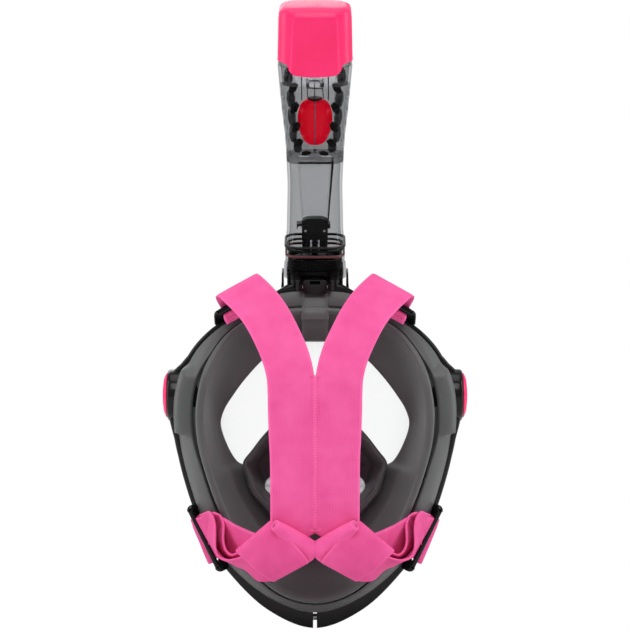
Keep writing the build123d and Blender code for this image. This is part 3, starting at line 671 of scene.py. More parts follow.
def build_skirt():
    """Seal behind the rim: convex band, deep groove, lip roll, then a bowl down to the eye opening."""
    deep = lip_depth(LIP_CURVE)
    height = BAND_CURVE[:, 1]
    over_valve = ease(height, -25.4, -23.4) * ease(-height, -22, -15)
    closed = ease(LIP_CURVE[:, 1], 14, 30)
    widen = 1.4 * ease(-LIP_CURVE[:, 1], -26, -6) * ease(LIP_CURVE[:, 1], -50, -20) - 1.15 * closed
    shoulder = inset(LIP_CURVE, -2.3 - widen)
    lip_foot = inset(LIP_CURVE, 4.6)

    def band(part, rise, swell):
        curve = inset(share(BAND_CURVE, shoulder, part), -2.4 * swell * over_valve)
        return at_depth(curve, 4.4 + (deep - 12.4) * rise + 8.6 * swell * over_valve)

    def lip(out, down):
        return at_depth(inset(LIP_CURVE, -out), deep - down)

    def bowl(part, rise, under=0.0):
        return at_depth(share(lip_foot, OPENING_CURVE, part), -6 + (deep + 4.4) * rise - under)

    rings = [
        at_depth(inset(SEAT_CURVE, 0.4), -5.6), at_depth(inset(SEAT_CURVE, 0.4), 3.2),
        at_depth(inset(BAND_CURVE, -2.4 * over_valve), 3.2), band(0, 0, 1), band(0.03, 0.07, 1.06),
        band(0.12, 0.24, 1), band(0.3, 0.5, 0.76), band(0.5, 0.72, 0.5), band(0.7, 0.87, 0.24),
        band(0.88, 0.97, 0.06), band(0.97, 1.0, 0), lip(2.2 + widen, 8.5),
        lip(1.9 + widen, 11 - 1.6 * closed), lip(1.8 + widen, 15 - 5 * closed), lip(0.5, 15 - 5 * closed),
        lip(0.2, 9), lip(0.3, 3.4), lip(0.55, 1.6), lip(0.3, 0.5), lip(-0.6, -0.25), lip(-1.9, -0.5),
        lip(-3.2, -0.15), lip(-4.2, 0.7),
        bowl(0.02, 0.96), bowl(0.12, 0.80), bowl(0.22, 0.67), bowl(0.36, 0.48), bowl(0.52, 0.32),
        bowl(0.70, 0.175), bowl(0.86, 0.065), bowl(0.96, 0.015),
        at_depth(inset(OPENING_CURVE, 0.1), -6.4), at_depth(inset(OPENING_CURVE, 0.35), -7.2),
        at_depth(inset(OPENING_CURVE, 0), -8), bowl(0.9, 0.05, 2), bowl(0.7, 0.175, 2), bowl(0.52, 0.32, 2),
        bowl(0.36, 0.48, 2), bowl(0.2, 0.68, 3), lip(-3, 6), lip(-1.4, 16.6), lip(1.2, 16.8),
        at_depth(inset(SEAT_CURVE, 4), 0), at_depth(inset(SEAT_CURVE, 3), -5.6)]
    new_object("skirt_seal", grid(rings, along=True), SKIRT_GREY, ["face_skirt"])


def build_brow_duct():
    """Raised air channel down the middle of the brow, in three steps of (height, depth, half width)."""
    course = [row for steps, samples in (
        ([(66.6, 5.2, 8.4), (62, 7.4, 8.6), (58.2, 9.4, 8.6)], 4),
        ([(57.3, 14.2, 8.8), (54, 15.6, 8.8), (50, 15.9, 9)], 4),
        ([(49.1, 13.4, 8.7), (45, 10.6, 8.6), (40, 5.6, 8.4), (36.2, 0.8, 8.2), (35, -2.4, 7.8)], 5),
    ) for row in smooth_path(steps, samples).tolist()]
    rings = []
    for z, y, half in course:
        near = [(-half, -7), (-half, -1.3), (0.5 - half, -0.4), (1.4 - half, 0), (-half / 2, 0.15)]
        section = near + [(-x, rise) for x, rise in reversed(near)]
        rings.append([(x, y + rise, z) for x, rise in section])
    crisp(new_object("brow_duct", solid(rings), SKIRT_GREY), 40)


def build_pocket():
    """Nose and mouth cup with a rolled rear edge, open at the back."""
    front, wall, size, middle = -44, 2, 0.86, -62
    outside, inside = POCKET_CURVE, inset(POCKET_CURVE, wall)
    section = [  # (outline, inset, depth, part of the full narrowing)
        (outside, 6, front, 1), (outside, 1.6, front + 0.6, 1), (outside, 0, front + 2.6, 0.98),
        (outside, 0, front + 8, 0.9), (outside, 0, -26, 0.63), (outside, 0, -8, 0.27),
        (outside, 0, 2.6, 0.03), (outside, -0.5, 4.4, 0), (outside, -0.3, 5.8, 0), (outside, 0.7, 6.6, 0),
        (inside, 0, 6.1, 0), (inside, 0.5, 4.6, 0), (inside, 0, 2, 0.04), (inside, 0, -8, 0.27),
        (inside, 0, -26, 0.63), (inside, 0, front + 8, 0.9), (inside, 1.4, front + 3, 0.98),
        (inside, 6, front + 2.2, 1)]
    rings = [at_depth(scaled(inset(curve, gap), 1 + (size - 1) * part, middle), y)
             for curve, gap, y, part in section]
    pocket = new_object("nose_pocket", solid(rings), POCKET_GREY, ["orinasal_pocket"])
    valve_x, valve_radius = 27, 6.6
    bores = [drill(valve_radius, -8, 8, (x, front, middle), (1, 0, 0), (0, 1, 0), 48)
             for x in (-valve_x, valve_x)]
    cut_holes(pocket, combined(bores))


# ---- side valve housings

def build_side_parts():
    """Round black housing and the glossy vented disc on each side."""
    housing = [(13.4, 76), (16.2, 76), (17, 77), (17, 94), (16.7, 95.4), (15.8, 96.2), (15, 96.4),
               (13.4, 96.4)]
    disc = [(0.01, 99.5), (6, 99.4), (9.2, 99), (9.6, 98.5), (10.3, 98.4), (10.8, 98.8), (12.4, 98.2),
            (13.8, 97.6),
            (14.6, 97), (14.5, 96.6), (13, 96.5), (0.01, 96.5)]
    for side, word in SIDES:
        axis = ((0, SIDE_Y, SIDE_Z), (0, side, 0), (0, 0, 1), (side, 0, 0))
        new_object(f"side_housing_{word}", placed(turned(housing, 96), *axis), BLACK_GLOSS)
        new_object(f"side_disc_{word}", placed(turned(disc, 96), *axis), PINK_GLOSS, [f"side_cover_{word}"])


# ---- snorkel

def rounded_ring(width, depth, height, corner, count=96):
    """Rounded rectangle in the tube's own frame, starting at the rear middle."""
    half_x, half_y = width / 2 - corner, depth / 2 - corner
    ring = []
    quarter = count // 4
    for sign_x, sign_y, start in ((1, 1, 90), (1, -1, 0), (-1, -1, -90), (-1, 1, -180)):
        for k in range(quarter):
            angle = math.radians(start - 90 * k / (quarter - 1))
            x, y = corner * math.cos(angle), corner * math.sin(angle)
            ring.append((sign_x * half_x + x, sign_y * half_y + y, height))
    return ring


def tube_walls(stations, wall, corner):
    """Open tube with real wall thickness through (height, width, depth) stations."""
    path = smooth_path(stations, 5)
    outer = [rounded_ring(w, d, h, corner) for h, w, d in path]
    inner = [rounded_ring(w - 2 * wall, d - 2 * wall, h, corner - wall) for h, w, d in path[::-1]]
    return grid(outer + inner, along=True)


def tube_piece(name, stations, wall, material, replaces=(), corner=TUBE_CORNER):
    """Walled piece of the snorkel through (height, width, depth) stations."""
    new_object(name, on_tube(tube_walls(stations, wall, corner)), material, replaces, body="snorkel")


def build_tube():
    """Clear shells of the snorkel from the collar to the neck of the cage, and the sleeve of the socket."""
    collar = [(15.2, 39.8, 33.8), (15.6, 40.4, 34.4), (19.9, 40.4, 34.4), (20.7, 38.8, 33.2),
              (28, 38.6, 33.1), (36.8, 39, 33.4)]
    tube_piece("collar_shell", collar, 1.6, COLLAR_SMOKE, ["tube_collar"])
    tube = [(37.2, 38, 32.4), (45, 36.8, 31), (61, 36, 30.6), (77, 35.4, 30.4), (92.3, 36.6, 31)]
    tube_piece("tube_shell", tube, 1.8, SMOKE_CLEAR, ["snorkel_tube"])
    tube_piece("cage_ledge", [(92.7, 36.2, 30.6), (93.6, 36.4, 30.8), (94.6, 36.4, 30.8)], 3, SMOKE_CLEAR)
    tube_piece("cage_neck", [(155.9, 45.6, 37.8), (160, 45.6, 37.6), (165, 45, 37)], 1.6, SMOKE_DARK)
    sleeve = tube_walls([(20.1, 35, 29.4), (24, 35, 29.4), (27.6, 34.8, 29.2)], 1.2, 8)
    cheek = [(16.8, 2), (18.2, 3), (18.2, 19.4), (16.8, 20)]
    cheeks = [prism([(side * x, s) for x, s in cheek], -9, 9) for side, _ in SIDES]
    new_object("socket_sleeve", on_tube(combined([sleeve] + cheeks)), BLACK_SATIN)


def slat(x, low, high, front, rear, half=0.35):
    """Thin upright bar in the tube's frame."""
    return prism([(x - half, low), (x + half, low), (x + half, high), (x - half, high)], front, rear)


def build_tube_inside():
    """What shows through the tube: channel, gaskets, divider edge, and the anchor with its hooks."""
    tube_piece("air_channel", [(53, 18, 12), (91.4, 23, 14)], 0.9, CHANNEL_CLEAR, ["air_divider"], 3)
    tube_piece("seal_ring", [(29.8, 38.9, 33.3), (31.2, 38.9, 33.3)], 1.1, SEAL_RED, ["tube_seal_ring"])
    tube_piece("tube_gasket", [(33.2, 36.6, 31.2), (34.4, 36.6, 31.2)], 1.5, BLACK_SATIN)
    tube_piece("collar_gasket", [(35.9, 39.8, 34.2), (37.3, 39.8, 34.2)], 1.2, BLACK_SATIN)
    divider = prism([(-12, 90.8), (-10.9, 90.8), (-8.3, 51.5), (-8.8, 51.5)], -9, 9)
    new_object("divider_edge", on_tube(divider), BLACK_SATIN, body="snorkel")
    plate = [(-8.4, 38.2), (8.6, 38.2), (8.6, 47.6), (11.2, 47.6), (11.2, 46), (11.9, 46), (11.9, 49.2),
             (8.6, 49.4), (8.3, 51.3), (4.6, 52.8), (-4.6, 52.8), (-8.3, 51.3), (-8.4, 49.4), (-10, 49.2),
             (-10, 46.2), (-8.4, 46.2)]
    blocks = [prism(plate, -4, 4), prism([(3.2, 32), (8.4, 32), (8.4, 38.4), (3.2, 38.4)], -4, 3),
              prism([(-8.2, 32), (-3, 32), (-3, 38.4), (-8.2, 38.4)], -4, 3),
              prism([(-1.9, 26), (1.9, 26), (1.9, 39), (-1.9, 39)], -3, 2),
              prism([(-9, 20.8), (9, 20.8), (9, 26.4), (7.6, 28.2), (-7.6, 28.2), (-9, 26.4)], -6, 6),
              prism([(9.1, 20.8), (14.6, 21.4), (14.6, 25.6), (9.1, 27)], -6, 5),
              prism([(-14.6, 21.4), (-9.1, 20.8), (-9.1, 27), (-14.6, 25.6)], -6, 5)]
    anchor = new_object("anchor_plate", on_tube(combined(blocks)), BLACK_SATIN,
                        ["anchor_stem", "divider_anchor"], body="snorkel")
    soften(anchor, 0.35)
    rods = [slat(x, 26, 38.6, 3.2, 4) for x in (-2.6, 2.6)]
    head = turned([(0.01, 4.2), (0.8, 4.2), (0.8, 3.6), (0.01, 3.6)], 20)
    pins = [placed(head, (x, 0, 44.6), (1, 0, 0), (0, 0, 1), (0, 1, 0)) for x in (-6, 6.2)]
    new_object("anchor_pins", on_tube(combined(rods + pins)), STEEL, body="snorkel")


def louvres(rows, lean, front, rear):
    """Flat-sided hexagons left and right, from (x, height, width, tallness) in the tube's frame."""
    corners = [(0, 0.5), (0.5, 0.24), (0.46, -0.3), (0.1, -0.5), (-0.42, -0.28), (-0.5, 0.22)]
    blades = []
    for x, s, wide, tall in rows:
        ring = [(x + wide * u + lean * v * tall, s + tall * v) for u, v in corners]
        blades += [prism([(side * u, v) for u, v in ring], front, rear) for side, _ in SIDES]
    return on_tube(combined(blades))


def build_chamber():
    """Inner clear chamber for the float: a deep wall bent in a U."""
    top, front, rear = 151, -12, 13
    half = [(14.6, top), (13.4, 125), (11.8, 111), (9.2, 103.6), (5, 100), (0, 99)]
    thinner = [(x - 1.4 if s > 101 else x * 0.86, s + (0 if s == top else 1.3)) for x, s in half]
    lines = []
    for line in (smooth_path(half, 6), smooth_path(thinner, 6)):
        lines.append([tuple(p) for p in line] + [(-x, s) for x, s in line[-2::-1]])
    count = len(lines[0])
    points = [(x, y, s) for y in (front, rear) for x, s in lines[0] + lines[1]]
    faces = []
    for k in range(count - 1):
        for a in (k, k + count):
            faces.append((a, a + 1, a + 2 * count + 1, a + 2 * count))
        for a in (k, k + 2 * count):
            faces.append((a, a + 1, a + count + 1, a + count))
    for k in (0, count - 1):
        faces.append((k, k + count, k + 3 * count, k + 2 * count))
    new_object("float_chamber", on_tube((points, faces)), CHAMBER_CLEAR, body="snorkel")


def build_cage_inside():
    """Edges of the side louvres and the guide frame of the float."""
    frames = louvres([
        (16.8, 145.5, 5, 9), (15.4, 131.4, 4.8, 9), (14.8, 119.4, 4.6, 8.6), (14, 108.4, 4.4, 8),
        (11, 100.4, 5.4, 4.4)], 0.25, -11, 9)
    soften(new_object("louvre_frames", frames, LOUVRE_SMOKE, body="snorkel"), 0.4)
    edges = louvres([
        (13.8, 141.5, 5.4, 7.6), (13, 128.3, 5.2, 7.6), (12.2, 115.6, 5.4, 7), (10.6, 105.4, 5.8, 5.6),
        (5.6, 98.6, 6, 3.2)], -0.3, 9.5, 12.5)
    soften(new_object("louvre_edges", edges, BLACK_SATIN, body="snorkel"), 0.15)
    bars = [slat(x, 133, 150, 9, 10) for x in (-8.5, 8.5)]
    arch = [(-5.4, 134), (-4.8, 141), (-2.6, 145.6), (3, 145.6), (5, 142), (4.6, 134)]
    lines = list(zip(arch, arch[1:])) + [((-4.8, 140.4), (4.9, 141)), ((0.2, 134), (0.2, 145.6))]
    for (x0, s0), (x1, s1) in lines:
        out = Vector((s1 - s0, x0 - x1)).normalized() * 0.3
        bars.append(prism([(x0 - out.x, s0 - out.y), (x1 - out.x, s1 - out.y),
                           (x1 + out.x, s1 + out.y), (x0 + out.x, s0 + out.y)], 9.4, 10.2))
    new_object("float_guides", on_tube(combined(bars)), POCKET_GREY, body="snorkel", slot="smoke_clear")


def egg(step):
    """Height and fullness of the float at one of its even turns, from its lower end to its upper end."""
    turn = math.pi * step / FLOAT_TURNS
    low, height = 101.4, 30.6
    return low + height * (0.5 - 0.5 * math.cos(turn)), math.sin(turn) ** 0.66 * (1 - 0.13 * math.cos(turn))


def build_float():
    """Inverted egg float with a raised rib down its rear."""
    stations = [egg(step) for step in range(1, FLOAT_TURNS)]
    rings = [rounded_ring(22 * fat, 15.4 * fat, level, 7.6 * fat, 64) for level, fat in stations]
    new_object("float_body", on_tube(solid(rings)), RED_GLOSS, ["snorkel_float"], body="float")
    rib = []
    for level, fat in stations[2:-2]:
        back = 7.7 * fat
        section = ((-0.55, back - 1), (-0.45, back + 0.55), (0.45, back + 0.55), (0.55, back - 1))
        rib.append([(x, y, level) for x, y in section])
    new_object("float_rib", on_tube(solid(rib)), RIB_ROSE, body="float")
    pad = [(0.01, 129.6), (4.4, 129.6), (4.8, 130), (4.8, 132), (4.3, 132.5), (0.01, 132.5)]
    new_object("float_pad_disc", on_tube(turned(pad, 48)), SEAL_RED, ["float_pad"], body="float")


def even_ring(width, depth, corner, count=240):
    """Rounded rectangle sampled at equal steps, from the rear middle towards +x."""
    dense = np.array([p[:2] for p in rounded_ring(width, depth, 0, corner, 160)])
    dense = np.vstack([[[0, depth / 2]], dense, [[0, depth / 2]]])
    distance = travelled(dense)
    wanted = np.linspace(0, distance[-1], count, endpoint=False)
    return np.stack([np.interp(wanted, distance, dense[:, k]) for k in (0, 1)], axis=1)


def build_cap():
    """Glossy cap, domed and closed on top, with a raised rear panel that runs down into a rounded tongue."""
    tongue_low, tongue_half, corner = 150.2, 17.6, 6
    side_low, top, round_corner, thick = 158, 193, 10.5, 2
    stations = smooth_path([  # (part of the height, width, depth)
        (0, 48, 40), (0.06, 47.7, 39.8), (0.3, 47.3, 39.4), (0.62, 46.8, 38.9), (0.84, 46.2, 38.3),
        (0.93, 44.6, 36.8), (0.975, 41.6, 33.8), (1.0, 37, 29.4), (1.012, 28, 21), (1.018, 14, 9)], 4)
    across = even_ring(48, 40, round_corner)
    reach = np.abs(across[:, 0])
    rear = across[:, 1] > 0
    rounding = np.clip(reach - (tongue_half - corner), 0, corner)
    tongue = tongue_low + 0.006 * reach ** 2 + corner - np.sqrt(corner ** 2 - rounding ** 2 + 1e-9)
    sides = side_low + 1.4 * ease(reach, 17, 24)
    low = np.where(rear & (reach < tongue_half), np.minimum(tongue, sides), sides)
    outer, inner = [], []
    for level, width, depth in stations:
        least = min(width, depth) / 2 - 0.6
        ring = even_ring(width, depth, min(round_corner, least))
        ring_in = even_ring(width - 2 * thick, depth - 2 * thick,
                            max(0.5, min(round_corner - thick, least - thick)))
        edge = 15.6 - 1.4 * level
        panel = rear * bump(across[:, 0], -edge, edge, 2.2) * (1 - ease(level, 0.86, 0.97))
        height = low + (top - low) * level
        outer.append(np.stack([ring[:, 0], ring[:, 1] + panel, height], axis=1))
        inner.append(np.stack([ring_in[:, 0], ring_in[:, 1], np.minimum(height, top - 2.2 + level)], axis=1))
    points, faces = combined([grid(outer), grid(inner)])
    count, shift = len(across), len(points) // 2
    faces += [(shift + k, shift + (k + 1) % count, (k + 1) % count, k) for k in range(count)]
    last = shift - count
    faces += [tuple(last + k for k in range(count)), tuple(shift + last + k for k in reversed(range(count)))]
    new_object("cap_shell", on_tube((points, faces)), PINK_GLOSS, ["snorkel_cap"], body="snorkel")


# ---- webbing

def ribbon(name, stations, side, replaces=(), half=STRAP_HALF, material=PINK_WEB):
    """Elastic webbing with a beaded selvedge, through stations of a centre and the direction across."""
    rows = smooth_path([(*row[:3], *Vector(row[3:]).normalized()) for row in stations])
    centres, across = rows[:, :3], unit(rows[:, 3:])
    along = unit(np.gradient(centres, axis=0))
    normal = unit(np.cross(along, across))
    steps = np.linspace(-1, 1, 17)
    profile = [(u, 0.5) for u in steps[1:-1]] + [(1, 0.3), (1.012, 0), (1, -0.3)]
    profile += [(u, -0.5) for u in steps[-2:0:-1]] + [(-1, -0.3), (-1.012, 0), (-1, 0.3)]
    rings, uv = [], []
    for centre, wide, up, length in zip(centres, across, normal, travelled(centres)):
        ring = []
        for u, v in profile:
            bead = 1 + 0.22 * max(0, 1 - (1 - abs(u)) / 0.09) if abs(v) > 0.2 else 1
            wave = 0.16 * noise.noise(Vector((u * 1.3, length * 0.09, side * 3.1)))
            point = centre + wide * (u * half) + up * (v * STRAP_THICK * bead + wave)
            ring.append((side * point[0], point[1], point[2]))
            uv.append((u * half * MM, length * MM))
        rings.append(ring)
    return new_object(name, solid(rings), material, replaces, uv=uv)


BAR_ALONG = Vector((0.873, 0, -0.487)).normalized()
BAR_OUT = Vector((0.487, 0, 0.873)).normalized()
BAR_CENTRE = Vector((50.7, 9, 60.55))


def off_bar(out, y, slide=0):
    """Point beside the upper loop bar: distance outwards, depth, and slide along the bar."""
    return tuple(BAR_CENTRE + BAR_OUT * out + BAR_ALONG * slide + Vector((0, y - 9, 0)))


def build_upper_strap(side, word):
    """Head band from its tail, round the loop bar, over the head and down to the lower straps."""
    over = tuple(BAR_ALONG)
    ribbon(f"head_band_{word}", [
        (*off_bar(-9.4, 12.6, -2.4), *over), (*off_bar(-5.6, 12.6, -2.4), *over),
        (*off_bar(-3.4, 9.2, -3), *over), (*off_bar(-0.6, 5.6, -3.8), *over),
        (*off_bar(3.6, 6.8, -4), *over), (*off_bar(7.2, 12.0, -4.1), *over), (*off_bar(9.4, 21, -5), *over),
        (47.8, 32, 70.4, 25, 3, -14), (38, 45, 61.2, 24, 6, -15), (31, 53, 52.2, 0.9, 0.2, -0.43),
        (24.6, 59.4, 40.5, 0.9, 0.2, -0.4), (19, 65, 28, 0.94, 0.12, -0.3),
        (15.7, 69.5, 16, 0.98, 0.06, -0.16), (14.75, 71.8, 5, 0.998, 0, -0.06), (14.5, 73, -8, 1, 0, 0),
        (13.9, 74.2, -24, 1, 0, 0), (13.2, 75, -38, 1, 0, 0), (13, 75, -60, 1, 0, 0),
        (13, 72.6, -75, 1, 0, 0), (12.6, 70.6, -91, 0.86, 0, -0.51)], side, [f"upper_strap_{word}"])


def from_edge(stations):
    """Stations given by the selvedge nearer the head, moved to the middle of the webbing."""
    return [(*(Vector(row[:3]) + Vector(row[3:]).normalized() * STRAP_HALF), *row[3:]) for row in stations]


def build_lower_straps(side, word):
    """Lower strap from its bar to the middle, its two slack loops, the turn round the bar and the wrap."""
    at_bar = (-0.433, 0, -0.9)
    ribbon(f"lower_band_{word}", [
        (74.4, 3.5, -94, 18.5, 0, 38.5), (70.4, 9, -92.4, 7.4, 0, 13.2), (64.5, 21, -90.6, 4.8, 0.5, 13.4),
        (57, 31, -90.4, 4, 1, 13.6), (46, 45, -94.5, 4, 3, 13.4), (34, 58, -98, 4, 4, 13),
        (27.5, 64, -98.6, 3, 4, 13)],
        side, [f"lower_strap_{word}"], material=PAINTED_SHADE_WEB)
    ribbon(f"slack_outer_{word}", from_edge([
        (77.8, 3.2, -79.6, *at_bar), (75.2, 9, -77.4, -0.36, -0.15, -0.92),
        (72, 20, -75.2, -0.15, -0.45, -0.88), (67.8, 30, -73.5, 0.06, -0.74, -0.67),
        (64.7, 36, -77.3, 0.2, -0.88, -0.42), (63.5, 40, -83.5, 0.24, -0.95, -0.16),
        (63.4, 43, -90.5, 0.2, -0.97, -0.06), (63.1, 45, -96.5, 0.08, -0.99, -0.03),
        (60.8, 47, -101, -0.1, -0.98, -0.1), (55.3, 50, -102.6, -0.13, -0.96, -0.2),
        (49.4, 54, -101.2, -0.16, -0.93, -0.33), (42, 60, -98, -0.15, -0.78, -0.62),
        (36, 65, -95, -0.1, -0.68, -0.73), (29, 69, -92, -0.1, -0.6, -0.79)]),
        side, [f"lower_strap_tail_{word}"], material=PAINTED_SHADE_WEB)
    ribbon(f"slack_inner_{word}", from_edge([
        (72.6, 14, -76, -0.3, -0.3, -0.9), (68.6, 26, -75, 0, -0.6, -0.8),
        (64.3, 33, -73.9, 0.1, -0.75, -0.64), (60.2, 36, -75.8, 0.2, -0.88, -0.4),
        (58, 38.5, -81, 0.24, -0.95, -0.15), (58.2, 41, -87, 0.24, -0.95, -0.12),
        (58, 43, -92.5, 0.2, -0.96, -0.16), (56.2, 45, -97.2, 0.1, -0.96, -0.24),
        (53, 47, -99.5, 0, -0.95, -0.28), (49.4, 50, -98.2, -0.1, -0.93, -0.34),
        (42, 56, -95.5, -0.12, -0.82, -0.56), (34, 63, -93, -0.1, -0.6, -0.8)]),
        side, material=PAINTED_SHADE_WEB)
    along_bar = (0.385, 0, 0.923)
    turn = ((69.6, 5.0, -94.6), (72.4, 4.4, -96.0), (74.2, 2.0, -96.8), (73.6, -1.2, -96.5),
            (71.6, -3.2, -95.6))
    ribbon(f"loop_turn_{word}", [centre + along_bar for centre in turn], side, half=14, material=PAINTED_SHADE_WEB)
    lean = (-21.9, 0, 18.7)
    lift = (-20.9, 12, 12.7)
    ribbon(f"wrap_band_{word}", [
        (30.4, 69, -92, *lean), (35.4, 70.2, -87.4, *lean), (37.9, 73, -85.2, *lean),
        (36.8, 75.8, -86.2, *lean), (32.4, 77, -90.5, *lean), (26, 77.6, -96.8, -21.6, 3, 17),
        (19.8, 76.8, -102.6, -21.2, 8, 14.4), (16, 74.8, -106.2, *lift), (15.2, 72.4, -107, *lift),
        (18.6, 69.4, -103.2, -21.2, 8, 14.4), (24, 68.4, -97.6, *lean)], side, material=PAINTED_SHADE_WEB)


def build_roll(side, word):
    """Band end rolled into a tunnel: open spiral on the outside, fat closed end at the middle."""
    start, end = np.array((25.4, 75.4, -78.0)), np.array((0.2, 74.4, -98.4))
    steps, turns, thick, growth = 44, 1.6, 1.3, 1.5
    parts = np.linspace(0, 1, steps + 1)
    centres = start + (end - start) * parts[:, None]
    centres[:, 1] += 5.2 * (1 - parts) ** 3
    centres[:, 2] += 1.6 * parts * (1 - parts)
    spiral = np.linspace(0, 2 * math.pi * turns, 72)
    rings, uv = [], []
    for part, centre, tangent in zip(parts, centres, np.gradient(centres, axis=0)):
        axis = Vector(tangent).normalized()
        up = axis.cross(Vector((0, 1, 0))).normalized()
        back = up.cross(axis).normalized()
        closing = math.sqrt(max(0.0, 1 - (max(0, part - 0.86) / 0.145) ** 2))
        wide = (1.0 + 5.0 * part ** 0.9) * closing
        deep = (1.0 + 2.0 * part ** 0.8) * closing
        ring = []
        for sign in (1, -1):
            for angle in spiral[::sign]:
                grow = (growth * angle / (2 * math.pi) + sign * thick / 2) * (0.35 + 0.65 * closing)
                c, s = math.cos(angle + 0.6), math.sin(angle + 0.6)
                point = Vector(centre) + up * c * (wide + grow) + back * s * (deep + grow)
                ring.append((side * point[0], point[1], point[2]))
                uv.append(((part * 2 - 1) * STRAP_HALF * MM, angle * 4 * MM))
        rings.append(ring)
    new_object(f"rolled_end_{word}", solid(rings), PINK_WEB, uv=uv)


def stitch_bars(name, marks, width, depth):
    """Short thread bars as rounded pillows: (centre, half length, direction) for each."""
    parts = []
    for centre, half, direction in marks:
        centre, along = Vector(centre), Vector(direction).normalized()
        side_way = along.cross(Vector((0, 1, 0))).normalized()
        rings = []
        for share_along, size in ((-1, 0.35), (-0.75, 0.9), (0, 1), (0.75, 0.9), (1, 0.35)):
            ring = []
            for angle in (math.pi * k / 4 for k in range(8)):
                wide, deep = math.cos(angle) * width / 2 * size, math.sin(angle) * depth / 2 * size
                point = centre + along * (half * share_along) + side_way * wide
                ring.append(tuple(point + Vector((0, deep, 0))))
            rings.append(ring)
        parts.append(solid(rings))
    new_object(name, combined(parts), PINK_THREAD)


def band_depth(z):
    """Depth of the back face of the two joined bands on the centre line."""
    heights = (-91, -75, -60, -38, -24, -8, 5, 16)
    return float(np.interp(z, heights, (70.6, 72.6, 75, 75, 74.2, 73, 71.8, 69.5))) + 0.8


def build_seam():
    """Sewn ridge where the two bands join, overcast with thread, with a bar tack at each end."""
    top, bottom, pitch, slope = 14.4, -81, 1.7, 0.45
    near = [(-1.5, -0.5), (-1.25, 0.1), (-0.6, 0.62)]
    section = near + [(0, 0.72)] + [(-x, rise) for x, rise in reversed(near)]
    rings = [[(x, band_depth(z) + rise, z) for x, rise in section] for z in np.linspace(bottom, top, 90)]
    uv = [(p[0] * MM, p[2] * MM) for ring in rings for p in ring]
    new_object("centre_seam", solid(rings), PINK_WEB, uv=uv)
    marks = []
    for index, z in enumerate(np.arange(bottom + 1, top - 0.5, pitch)):
        marks.append(((0, band_depth(z) + 0.66, z), 0.95, (1, 0, slope if index % 2 else -slope)))
    for z, half in ((top, 3.5), (bottom - 0.4, 4)):
        marks += [((0, band_depth(z) + 0.5, z + row), half, (1, 0, 0)) for row in (-0.45, 0.45)]
    stitch_bars("seam_thread", marks, 0.42, 0.4)


def build_tail_stitches(side, word):
    """Two rows of stitches that hold the folded tail of the upper strap below its loop bar."""
    marks = []
    for out in (-5.2, -7.6):
        for slide in np.arange(-14.5, 10.6, 1.9):
            x, y, z = off_bar(out, 13.7, slide)
            marks.append(((side * x, y, z), 0.62, (side * BAR_ALONG[0], 0, BAR_ALONG[2])))
    stitch_bars(f"tail_stitches_{word}", marks, 0.45, 0.45)


# ---- studio

def build_floor(low):
    """Pale floor that fades into the white background."""
    n = Nodes("pale_floor")
    tone = n.blend(n.noise(3), (0.86, 0.86, 0.86), (0.9, 0.9, 0.9))
    plain = n.add("BsdfPrincipled", Base_Color=tone, Roughness=0.9)
    glow = n.add("Emission", Color=(1, 1, 1), Strength=1.0)
    seen = n.add("LightPath").outputs["Is Camera Ray"]
    clear = n.add("LightPath").outputs["Transparent Depth"]
    direct = n.maths("MAXIMUM", seen, n.maths("MINIMUM", clear, 1.0))
    mixed = n.add("MixShader", i0=direct, i1=plain.outputs[0], i2=glow.outputs[0])
    half = 14
    corners = [(-half, -half, low), (half, -half, low), (half, half, low), (-half, half, low)]
    mesh = bpy.data.meshes.new("floor")
    mesh.from_pydata(corners, [], [(0, 1, 2, 3)])
    floor = linked("floor", mesh)
    floor.data.materials.append(n.finish(mixed.outputs[0]))


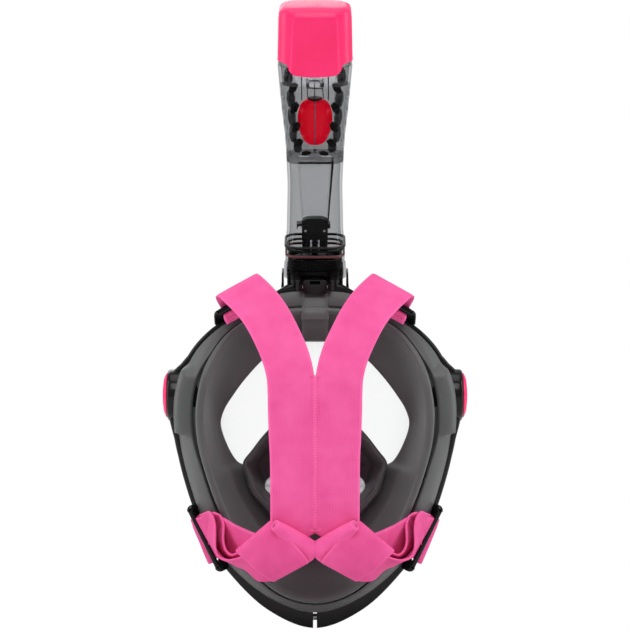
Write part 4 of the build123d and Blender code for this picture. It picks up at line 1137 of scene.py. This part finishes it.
def build_world():
    """White behind the object, dimmer for the light that falls on it."""
    world = bpy.data.worlds.new("studio")
    bpy.context.scene.world = world
    world.use_nodes = True
    tree = world.node_tree
    background = tree.nodes["Background"]
    background.inputs["Color"].default_value = (1, 1, 1, 1)
    path = tree.nodes.new("ShaderNodeLightPath")
    level = tree.nodes.new("ShaderNodeMapRange")
    level.inputs["To Min"].default_value = 0.4
    level.inputs["To Max"].default_value = 1.0
    tree.links.new(path.outputs["Is Camera Ray"], level.inputs["Value"])
    tree.links.new(level.outputs[0], background.inputs["Strength"])


def build_lights(centre):
    """Soft boxes round the object: (name, place from its centre, size, power), in metres and watts."""
    for name, place, size, power in (
            ("left_box", (1.1, 0.15, 0.25), (0.4, 1.3), 6.4),
            ("right_box", (-1.1, 0.15, 0.25), (0.4, 1.3), 6.4),
            ("rear", (0.0, 1.3, 1.15), (1.0, 0.8), 12), ("front", (0.3, -1.2, 0.7), (1.0, 1.0), 6),
            ("top", (0, 0.1, 1.2), (0.8, 0.8), 3.6)):
        light = bpy.data.lights.new(name, "AREA")
        light.shape = "RECTANGLE"
        light.energy = power
        light.size, light.size_y = size
        lamp = linked(name, light)
        lamp.location = centre + Vector(place)
        lamp.rotation_euler = (centre - lamp.location).to_track_quat("-Z", "Y").to_euler()


def build_studio():
    """Floor, background and lights, placed by the CAD box."""
    low, high = (Vector(corner) for corner in cad_box)
    floor_gap = 0.004
    build_floor(low.z - floor_gap)
    build_world()
    build_lights((low + high) / 2)


def build_camera():
    """Level view from behind the wearer's head, centred on the mask."""
    distance, field, height = 1.6, 0.4115, 0.0525
    data = bpy.data.cameras.new("camera")
    data.lens = data.sensor_width * distance / field
    camera = linked("camera", data)
    camera.location = (0, distance, height)
    camera.rotation_euler = (math.radians(90), 0, math.radians(180))
    bpy.context.scene.camera = camera
    bpy.context.scene.view_settings.view_transform = "Standard"


# ---- the whole model

for build in (build_rim, build_guide_tabs, build_loops, build_lens, build_skirt, build_brow_duct,
              build_pocket, build_side_parts, build_tube, build_tube_inside, build_chamber,
              build_cage_inside, build_float, build_cap):
    build()
for side, word in SIDES:
    build_upper_strap(side, word)
    build_lower_straps(side, word)
    build_roll(side, word)
build_seam()
for side, word in SIDES:
    build_tail_stitches(side, word)
build_studio()
build_camera()
